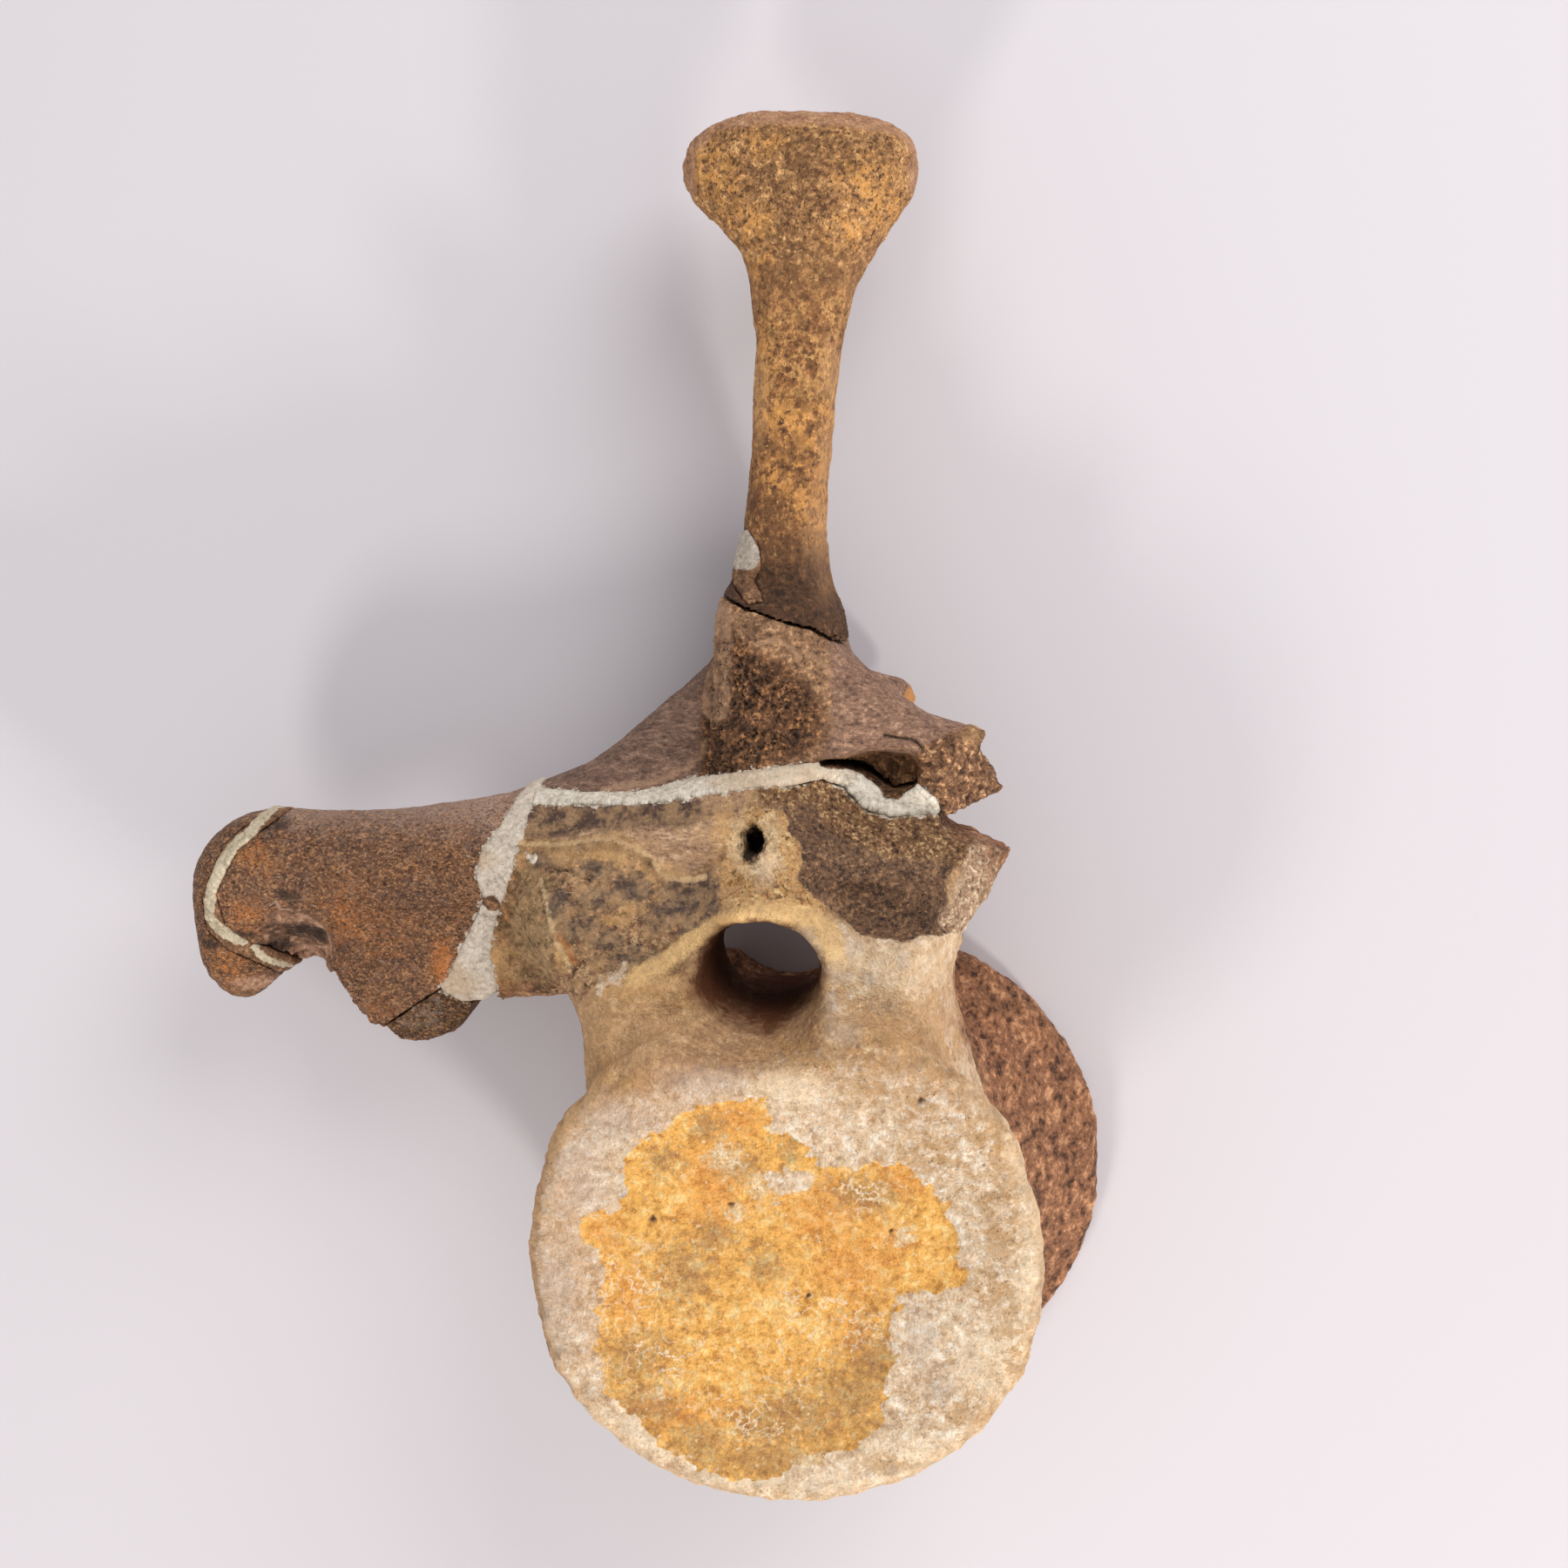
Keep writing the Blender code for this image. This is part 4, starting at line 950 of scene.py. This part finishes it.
def upper_arch_finish():
    bone = BoneFinish("upper_arch_bone", 0.72)
    w, mottled, painted = bone.w, bone.mottled, bone.painted
    ground = mottled(5, (84, 58, 42), (122, 90, 68), (164, 126, 94))
    sponge = mottled(2.6, (62, 40, 23), (110, 73, 45), (182, 130, 84), 1)
    granular = mottled(2.6, (92, 64, 44), (148, 110, 78), (204, 160, 118), 1)
    granular = bone.flecked(granular, (62, 42, 28), 1, 0.35, 0.7, 2)
    fibres = bone.fibres(0.5, 1.3, 1)
    lamina = mottled(2.4, (92, 67, 55), (128, 99, 82), (168, 133, 110), place=fibres)
    lamina = bone.veined(lamina, (178, 144, 118), 2.6, 0.07, 0.65, 1, fibres)
    smooth = mottled(2.6, (104, 75, 60), (150, 115, 93), (196, 154, 124), place=bone.fibres(0.7, 1.2, 1))
    smooth = bone.flecked(smooth, (94, 68, 54), 0.9, 0.4, 0.5, 3)
    stump = mottled(1.8, (60, 38, 26), (134, 94, 64), (226, 176, 128), 1.3)
    stump = bone.flecked(stump, (48, 32, 22), 1.2, 0.4, 0.7, 9)
    colour = w.blend(bone.value("lamina"), ground, lamina)
    colour = w.blend(bone.value("smooth"), colour, smooth)
    colour = bone.stained(colour, granular, "block", 3, 0.9, 0.6)
    spongy = bone.value("spongy")
    colour = w.blend(w.step(spongy, 0.0, 0.5), colour, sponge)
    holes = w.times(pore_mask(w, bone.place, 1.3), w.step(spongy, 0.1, 0.9))
    colour = painted(
        w.blend(w.step(holes, 0.2, 0.8), colour, tone(62, 41, 25)),
        ("steps", (186, 146, 112), 1.4, 0.4, 0.3, 0.5),
        ("stump", stump, 2, 0.7, 0.4),
        ("knob", (206, 160, 108), 0.9, 0.9, 0.4, 0.5),
        # Painted highlight on the lit edges of the block.
        ("light_line", (196, 156, 122), 2, 0.8, 0.5, 0.5),
        ("tip", (214, 146, 76), 1.5, 0.2, 0.25, 0.8),
        ("flecks", (58, 40, 30), 0.9, 0.6, 0.6, 4),
    )
    colour = painted(
        w.blend(bone.value("crack"), colour, tone(40, 28, 20)),
        ("hollow", mottled(1.8, (56, 37, 22), (118, 82, 50), (184, 136, 90), 1), 1.8, 1, 0.6),
        SMEAR_COAT,
    )
    return bone.done(colour, 0.8, 0.2, 0.8, 1.1, 1)


dress(
    upper_arch, "upper_arch", "dark_bone", upper_arch_finish(), Fibre=Vector((0.4, 1.3, 1)),
    Lump_Height=0.2, Pore_Size=1.5, Pore_Depth=0.9, Break_Height=0.75, Grain_Height=0.14,
)


# The neural spine, one fragment: a plate that spreads into a pitted club with a smoother bevelled edge. A
# crack parts it from the block below, and a small patch of filler sits low on its left edge.
CLUB_FRONT = [
    (-24, 190), (-21, 197), (-20.6, 203.5), (-19.6, 206.8), (-17.6, 209.2), (-13.3, 210.6), (-6.9, 210.9),
    (4, 211.1), (9.1, 210.6), (14.1, 210.1), (17.5, 208.8), (19.9, 207), (20.6, 204.2), (20.4, 200.3),
    (21, 195), (22, 186), (22, 100), (-24, 100),
]
OCHRE_ON_CLUB = [
    (-16.6, 202.3, 4, 5), (-14.5, 198, 4.5, 3.6), (-7, 206.8, 5, 2.4), (12.5, 200.5, 5, 4.5),
    (15, 195, 3.6, 4), (-10.5, 193, 4.5, 3), (-8, 187, 3, 5), (9, 191, 4, 3.5),
]
DARK_ON_CLUB = [
    (-8, 200.6, 5, 5), (-1.3, 202.8, 6, 4.4), (6.9, 204.6, 6.5, 3), (-2.2, 207.6, 7, 2),
    (-14.9, 196.6, 3, 3), (0, 196, 5.5, 4.5), (14, 205.5, 3, 1.6), (-3, 188, 5, 5), (3, 183, 5, 4),
]
THREADED = [(-12, 174, 7, 4.5), (-3, 172, 7, 4.5), (4.5, 173.5, 6, 7.5), (0, 165, 9, 6)]
OCHRE_ON_SHAFT = [
    (-7.5, 167, 2.6, 7), (-2, 155.5, 5, 5), (1.6, 147.5, 4, 5), (-4.5, 145, 4.5, 4.5), (3.6, 134, 2, 14),
    (0, 139, 2, 4), (4.4, 157, 2, 5), (-7.6, 158, 2, 6),
]
# Dark spots on the shaft: those low on it, by its foot, are painted shade, and the rest are the bone's own
# darker mottling.
DARK_AND_SHADED_ON_SHAFT = [
    (-7.5, 139.5, 4, 3.6), (-4.5, 130.5, 5, 9), (-1.5, 122.5, 8, 7), (1, 159.5, 4, 3), (2.6, 150, 2, 4),
    (-2, 183, 7, 4), (-7, 150.5, 2, 3.4), (-8, 118, 4, 4), (-2.5, 127, 7, 9), (-3.5, 136, 4, 5),
    (-1, 147, 4, 4), (0, 124, 8, 7),
]
# Painted highlight in strips along the shaft's edges, where light falls on them.
SHAFT_EDGE_HIGHLIGHTS = [(3.6, 131, 2.4, 10), (4.6, 148, 1.6, 7), (5.4, 164, 1.6, 6), (-8.4, 160, 1.6, 8)]

neural_spine = close_copy("neural_spine", "neural_spine_bone", grid=0.44, rounds=18)
at = places_of(neural_spine)
turned = normals_of(neural_spine)
x, y, z = at.T
band = np.maximum(-inside(at, CLUB_FRONT), rise(turned[:, 1], 0.45, 0.8) * 4 - 1.5)
# Painted shade at the spine's foot, where it lies in the gap behind the block.
base = rise(-y, -136, -124) * (1 - 0.5 * rise(x, 2, 5) * rise(y, 119, 123))
hook = rise(spots(at, [(-20.5, 193.4, 2.6, 2.2), (19.4, 193, 2.4, 2)]), 0, 0.6)
mark(
    neural_spine,
    broken=np.clip(0.7 * rise(-y, -122, -116) + 0.3 * rise(y, 182, 190), 0, 1),
    spongy=0.6 * rise(-band, 0, 1.4) * rise(y, 176, 198) * rise(z, 26, 32),
    shape=-0.8 * rise(-turned[:, 1], 0.2, 0.6) * rise(-y, -122, -119) + 0.9 * hook,
    band=np.where(y > 176, band, -4),
    club=rise(y, 172, 192),
    ochre=spots(at, OCHRE_ON_CLUB + OCHRE_ON_SHAFT),
    dark=spots(at, DARK_ON_CLUB + DARK_AND_SHADED_ON_SHAFT),
    threads=spots(at, THREADED),
    strip=spots(at, SHAFT_EDGE_HIGHLIGHTS),
    base=base,
)


def neural_spine_finish():
    bone = BoneFinish("neural_spine_bone", 0.8)
    w, mottled, painted = bone.w, bone.mottled, bone.painted
    ground = mottled(3, (76, 49, 29), (138, 92, 54), (206, 149, 92), 1.2, bone.fibres(1.1, 0.9, 1))
    club = mottled(2, (94, 62, 38), (172, 124, 78), (234, 184, 122), 1)
    band = mottled(4, (140, 98, 70), (180, 134, 98), (208, 164, 126))
    colour = w.blend(bone.value("club"), ground, club)
    bright = bone.flecked(colour, (226, 162, 86), 1.8, -0.2, 0.65, 5)
    colour = bone.stained(colour, bright, "ochre", 2.2, 0.8, 0.6)
    dull = bone.flecked(colour, (88, 57, 34), 2, -0.3, 0.65, 6)
    colour = painted(
        colour,
        ("dark", dull, 2.2, 0.8, 0.6, 0.9),
        # Painted highlight along the shaft's edges.
        ("strip", (208, 160, 112), 2.2, 1, 0.8, 0.45),
        ("flecks", (84, 54, 32), 0.9, 0.4, 0.7, 1),
        ("flecks", (232, 180, 112), 1, 0.5, 0.7, 2),
    )
    threads = bone.veined(colour, (224, 172, 104), 3.2, 0.26, 0.6, 3)
    threads = bone.veined(threads, (228, 180, 112), 5, 0.12, 0.6, 4)
    colour = bone.stained(colour, threads, "threads", 2.6, 1.4, 1.4)
    pitted = bone.flecked(colour, (72, 46, 26), 0.8, 0.25, 0.85, 7, bone.fibres(1.5, 0.9, 1))
    colour = w.blend(w.step(bone.value("spongy"), 0.05, 0.5), colour, pitted)
    colour = bone.stained(colour, band, "band", 2.4, 0.9, 0.5)
    # Painted shade: the foot of the spine is painted dark brown.
    foot = mottled(2.4, (46, 30, 19), (82, 55, 35), (120, 84, 55), 1.2)
    colour = w.blend(w.times(bone.value("base"), 0.95), colour, foot)
    return bone.done(colour, 0.8, 0.18, 1, 0.7, 1)


dress(
    neural_spine, "neural_spine", "ochre_bone", neural_spine_finish(), Fibre=Vector((1.2, 0.6, 1)),
    Lump_Height=0.22, Lump_Size=6.0, Pore_Size=1.3, Pore_Depth=0.3, Grain_Height=0.18, Break_Size=2.2,
    Break_Height=0.9,
)


# The left side process, in three fragments: the broad blade with its worn hollow, the end piece beyond a
# thin seam of filler, and a chip that a crack has parted from the blade's lower edge.
RUST = [
    (-71, 49, 2.6, 4.6), (-69.8, 51, 2.4, 2.4), (-108.9, 70.8, 3.4, 3), (-107, 67, 3, 2.4),
    (-111.3, 57.5, 3.6, 3.2), (-86.3, 55.2, 8, 5), (-82.9, 50.7, 6, 5), (-91, 61.6, 6, 4),
    (-90.9, 52.3, 4, 5), (-67.5, 76.5, 3, 1.6), (-84, 39, 4, 3), (-116, 44, 5, 4), (-120, 49, 3, 3),
]
DUSKY = [
    (-100.8, 76, 9, 2.4), (-80, 78, 16, 3.2), (-62.2, 73.8, 3, 4), (-98.9, 64, 6, 3),
    (-90.2, 49.7, 2.6, 2.6), (-78.4, 44.4, 2.6, 2), (-108.6, 64.8, 2.4, 4), (-88, 71, 10, 2.4),
    (-104, 53, 4, 3), (-76, 62, 6, 3), (-98, 50, 4, 2), (-83.5, 46.4, 5, 3.2), (-76, 50, 3, 3),
]
WORN = [
    (-105.6, 58.3), (-103.4, 59.4), (-100.4, 59.4), (-97.2, 57.8), (-94.6, 53.7), (-93.8, 48), (-100, 42),
    (-107, 42), (-109.4, 50), (-108, 53.3), (-106.8, 56.2),
]
WORN_EDGE = [
    (-104.1, 60.1), (-103.6, 58.6), (-100.5, 57.7), (-98.5, 56.8), (-96.4, 55.3), (-95.4, 54), (-94.9, 51),
]
HOLLOW = [
    (-101, 53.6, 2.8, 1.6), (-97.6, 52.6, 2, 1.4), (-106.2, 50.2, 2.8, 1.8), (-112.4, 53.2, 2.2, 0.8),
    (-119, 51, 1.8, 1), (-111.2, 49.9, 1.6, 1.1), (-106, 75.4, 3.2, 1.2), (-101.8, 61.8, 2.2, 1.2),
]
PINK = [
    (-102.6, 56.2, 3.4, 1.5), (-97.6, 55, 2.2, 1.3), (-101, 48.4, 4.4, 1.7), (-110.6, 42.9, 4.6, 1.5),
    (-104.9, 47.4, 2, 1.4), (-96, 49.4, 1.4, 3),
]
ORANGE_PATCH = [(-70.9, 48.4, 2, 4)]
BRIGHT_RUST = [
    (-108.6, 69, 2.8, 2.2), (-114.6, 47.2, 2.4, 3), (-71, 48.6, 2, 3.2), (-90.5, 56.8, 2.8, 3),
    (-110.4, 57.4, 2.8, 2.4),
]
# Painted light: the top edge of the process is painted lighter and pinkish grey where light falls on it.
LIT_TOP_EDGE = [(-64, 80.4, 14, 4.2), (-80, 80.8, 16, 4.6), (-97, 80.2, 12, 4.2)]
SPLINTERS = [
    [(-95.6, 58.6), (-94.2, 57)], [(-97, 60), (-95.8, 59.6)], [(-105.6, 59.6), (-104.2, 60.6)],
    [(-91.6, 66.6), (-89.8, 67.4)], [(-64.6, 70.8), (-62.8, 70.2)], [(-104.6, 65.6), (-101.4, 65.2)],
]
BLADE_FOOT = [(-93.7, 46), (-91.1, 42.3), (-88.9, 36.9), (-84.6, 34.6), (-83.6, 35)]


def process_finish(name, dark, middle, light):
    bone = BoneFinish(name, 0.62)
    w, mottled, painted = bone.w, bone.mottled, bone.painted
    slanted = bone.fibres(0.85, 1.15, 1)
    ground = mottled(2, dark, middle, light, 0.7, slanted)
    broad = mottled(12, (196, 186, 180), (228, 220, 216), (255, 250, 244))
    colour = w.blend(0.5, ground, broad, "MULTIPLY")
    rust = bone.flecked(colour, (180, 108, 52), 1.2, -0.15, 0.75, 5)
    colour = bone.stained(colour, rust, "rust", 2.4, 0.9, 0.8, 0.62)
    bright = bone.flecked(colour, (212, 130, 60), 1.1, -0.3, 0.85, 8)
    worn = mottled(2.2, (66, 46, 34), (128, 92, 68), (206, 160, 126), 1.3, bone.fibres(0.7, 1.3, 1))
    pink = mottled(2, (132, 92, 70), (192, 144, 112), (232, 188, 152), 1)
    colour = painted(
        colour,
        ("bright_rust", bright, 1.6, 1.6, 1, 0.62),
        ("orange", (212, 128, 58), 1.6, 0.7, 0.4, 0.7),
        ("dusky", (92, 66, 54), 2.4, 0.8, 0.8, 0.45),
        # Painted light on the process's top edge.
        ("pale_top", (206, 172, 150), 2.4, 0.9, 1.2, 0.7),
        ("flecks", (50, 32, 22), 0.55, 0.1, 0.6, 1, slanted),
        ("flecks", (226, 170, 114), 0.55, 0.2, 0.5, 2, slanted),
        ("worn", worn, 2.4, 1.4, 0.5),
        ("pink", pink, 1.8, 0.6, 0.5, 0.85),
        ("hollow", (50, 34, 26), 1.8, 1.1, 0.6, 0.85),
        ("worn_edge", (212, 168, 136), 1.8, 0.9, 0.3, 0.7),
        ("splinter", (214, 190, 160), 1.2, 0.2, 0.1, 0.6),
    )
    grey = bone.flecked(colour, (158, 142, 126), 1.4, -0.2, 0.6, 6)
    colour = painted(colour, ("grey", grey, 1.2, 1.4, 0.9, 0.8), SMEAR_COAT)
    return bone.done(colour, 0.7, 0.22, 0.85, 1.15, 1)


def mark_process(piece, broken, shape=0.0, grey=()):
    """The marks that the three fragments of the process share."""
    at = places_of(piece)
    splinter = np.max([0.14 - off_line(at, line) for line in SPLINTERS], axis=0)
    high = at[:, 2] > 38
    above = at[:, 2] > 24
    mark(
        piece,
        broken=broken,
        shape=shape + 0.3 * rise(splinter, -0.2, 0.2) * high,
        rust=spots(at, RUST),
        bright_rust=spots(at, BRIGHT_RUST),
        orange=spots(at, ORANGE_PATCH),
        dusky=spots(at, DUSKY),
        pink=spots(at, PINK),
        # Painted light along the top edge.
        pale_top=spots(at, LIT_TOP_EDGE),
        grey=spots(at, grey),
        hollow=spots(at, HOLLOW, 30),
        worn=np.where(above, inside(at, WORN), -6),
        worn_edge=beside(at, WORN_EDGE, 0.35, 34),
        smear=np.where(above, beside_filler(at, "process_filler"), -3),
        splinter=np.where(high, splinter, -1),
    )


transverse_process = close_copy("transverse_process", "transverse_process_bone", grid=0.4, rounds=22)
at = places_of(transverse_process)
worn = inside(at, WORN)
foot = rise(1.4 - off_line(at, BLADE_FOOT), 0, 1)
mark_process(
    transverse_process, np.clip(foot + rise(worn, -0.8, 1.6), 0, 1),
    -0.7 * rise(worn, -0.8, 2) * rise(at[:, 2], 30, 34),
)
dress(
    transverse_process, "transverse_process", "dark_bone",
    process_finish("transverse_process_bone", (66, 42, 28), (136, 94, 64), (208, 154, 108)),
    Fibre=Vector((0.6, 1.5, 1)), Lump_Height=0.2, Grain_Size=1.3, Grain_Height=0.15, Break_Height=0.9,
)

process_tip = close_copy("process_tip", "process_tip_bone", grid=0.36, rounds=18)
at = places_of(process_tip)
mark_process(process_tip, 0.4 * rise(-at[:, 1], -50, -44))
dress(
    process_tip, "process_tip", "dark_bone",
    process_finish("process_tip_bone", (66, 43, 28), (122, 84, 54), (190, 138, 90)),
    Fibre=Vector((1.3, 0.7, 1)), Lump_Height=0.2, Grain_Size=1.3, Grain_Height=0.1, Break_Height=0.8,
)

process_chip = close_copy("process_chip", "process_chip_bone", grid=0.32, rounds=10)
mark_process(process_chip, 0.35, grey=((-75.6, 38.4, 4, 2.6), (-72.6, 38.8, 1.8, 2.4)))
dress(
    process_chip, "process_chip", "dark_bone",
    process_finish("process_chip_bone", (51, 34, 20), (97, 66, 38), (160, 113, 64)),
    Fibre=Vector((0.7, 1.3, 1)), Lump_Height=0.15, Grain_Size=1.2, Grain_Height=0.12, Break_Height=0.7,
)


# The filler: an off-white plaster, pressed into the four breaks and left as it dried, with a lumpy skin,
# ragged edges that lap a little over the bone, small air holes and fine dirt in them.
TIP_SEAM = [
    (-106.6, 78.6), (-108.2, 76.4), (-110, 73.8), (-112.7, 71.3), (-114.9, 68.1), (-116.8, 64.2),
    (-118.2, 60.3), (-118.4, 56.7), (-116.9, 54.4), (-114.2, 53), (-112, 52.2),
]
TIP_BITS = [(-110, 50.6), (-109.2, 49.2), (-108.3, 48.2), (-106.7, 47.2), (-105.1, 45.9)]
SPINE_PATCH = [
    (-16, 127), (-11, 126.2), (-8.7, 126.4), (-7.9, 129.1), (-8.8, 131.8), (-10.4, 133.8), (-16, 135),
]


def filler_finish(name, middle):
    plaster = BoneFinish(name, 0.9)
    mottled = plaster.mottled
    light = [min(255, c + 18) for c in middle]
    dark = [c - 34 for c in middle]
    colour = plaster.painted(
        mottled(4, dark, middle, light),
        ("tan", (186, 156, 122), 2.4, 0.8, 0.7, 0.6),
        ("flecks", (128, 106, 84), 0.9, 0.62, 0.8, 1),
        ("veins", (144, 120, 96), 6, 0.04, 0.6, 1),
        ("bare", mottled(2, (74, 52, 36), (120, 86, 60), (172, 130, 94), 1), 1.6, 0.5, 0.15),
        ("hollow", mottled(1.6, (44, 29, 18), (84, 57, 35), (146, 104, 66), 1), 1.8, 0.5, 0.25),
    )
    return plaster.done(colour, 0.9, 0.06)


def make_filler(node, grid, middle, swell, bare=None, tan=(), **sizes):
    """A piece of filler that swells a little over its edges, tan or bare of plaster in places."""
    piece = close_copy(node, node + "_plaster", grid, rounds=8)
    at = places_of(piece)
    bare = bare(at) if bare else np.full(len(at), -3.0)
    cavity = inside(at, CAVITY)
    mark(
        piece,
        broken=1.0,
        shape=swell * (0.7 + 0.3 * rise(-bare, -0.2, 0.5)) - 1.4 * rise(cavity, -0.2, 0.8),
        bare=bare,
        hollow=cavity,
        tan=spots(at, tan),
    )
    usual = {"Lump_Height": 0.14, "Break_Size": 1.6, "Break_Height": 0.2}
    finish = filler_finish(node + "_plaster", middle)
    dress(piece, node, "filler", finish, Grain_Size=0.9, Grain_Height=0.08, **usual | sizes)


def knob_of_bone(at):
    """Bare where a lump of bone shows through the filler at the foot of the process."""
    lump = spots(at, [(-60.1, 61.4, 1.8, 1.6)])
    return np.where(lump > -1, lump * 2, -3)


make_filler(
    "arch_filler", grid=0.5, middle=(214, 204, 186), swell=0.55, tan=((-8, 86.6, 9, 2.4), (2, 88, 6, 2)),
    Lump_Size=4.0, Break_Height=0.22,
)
make_filler(
    "process_filler", grid=0.4, middle=(203, 189, 171), swell=0.45, bare=knob_of_bone,
    tan=((-68, 45, 4, 4), (-62, 70, 3, 2)), Lump_Size=4.0,
)
make_filler(
    "tip_filler", grid=0.36, middle=(196, 181, 154), swell=0.3,
    bare=lambda at: np.minimum(off_line(at, TIP_SEAM) - 1.2, off_line(at, TIP_BITS) - 0.6),
    Lump_Size=3.0, Lump_Height=0.12,
)
make_filler(
    "spine_filler", grid=0.36, middle=(180, 168, 153), swell=0.4, bare=lambda at: -inside(at, SPINE_PATCH),
    Lump_Size=3.0, Break_Size=1.8,
)
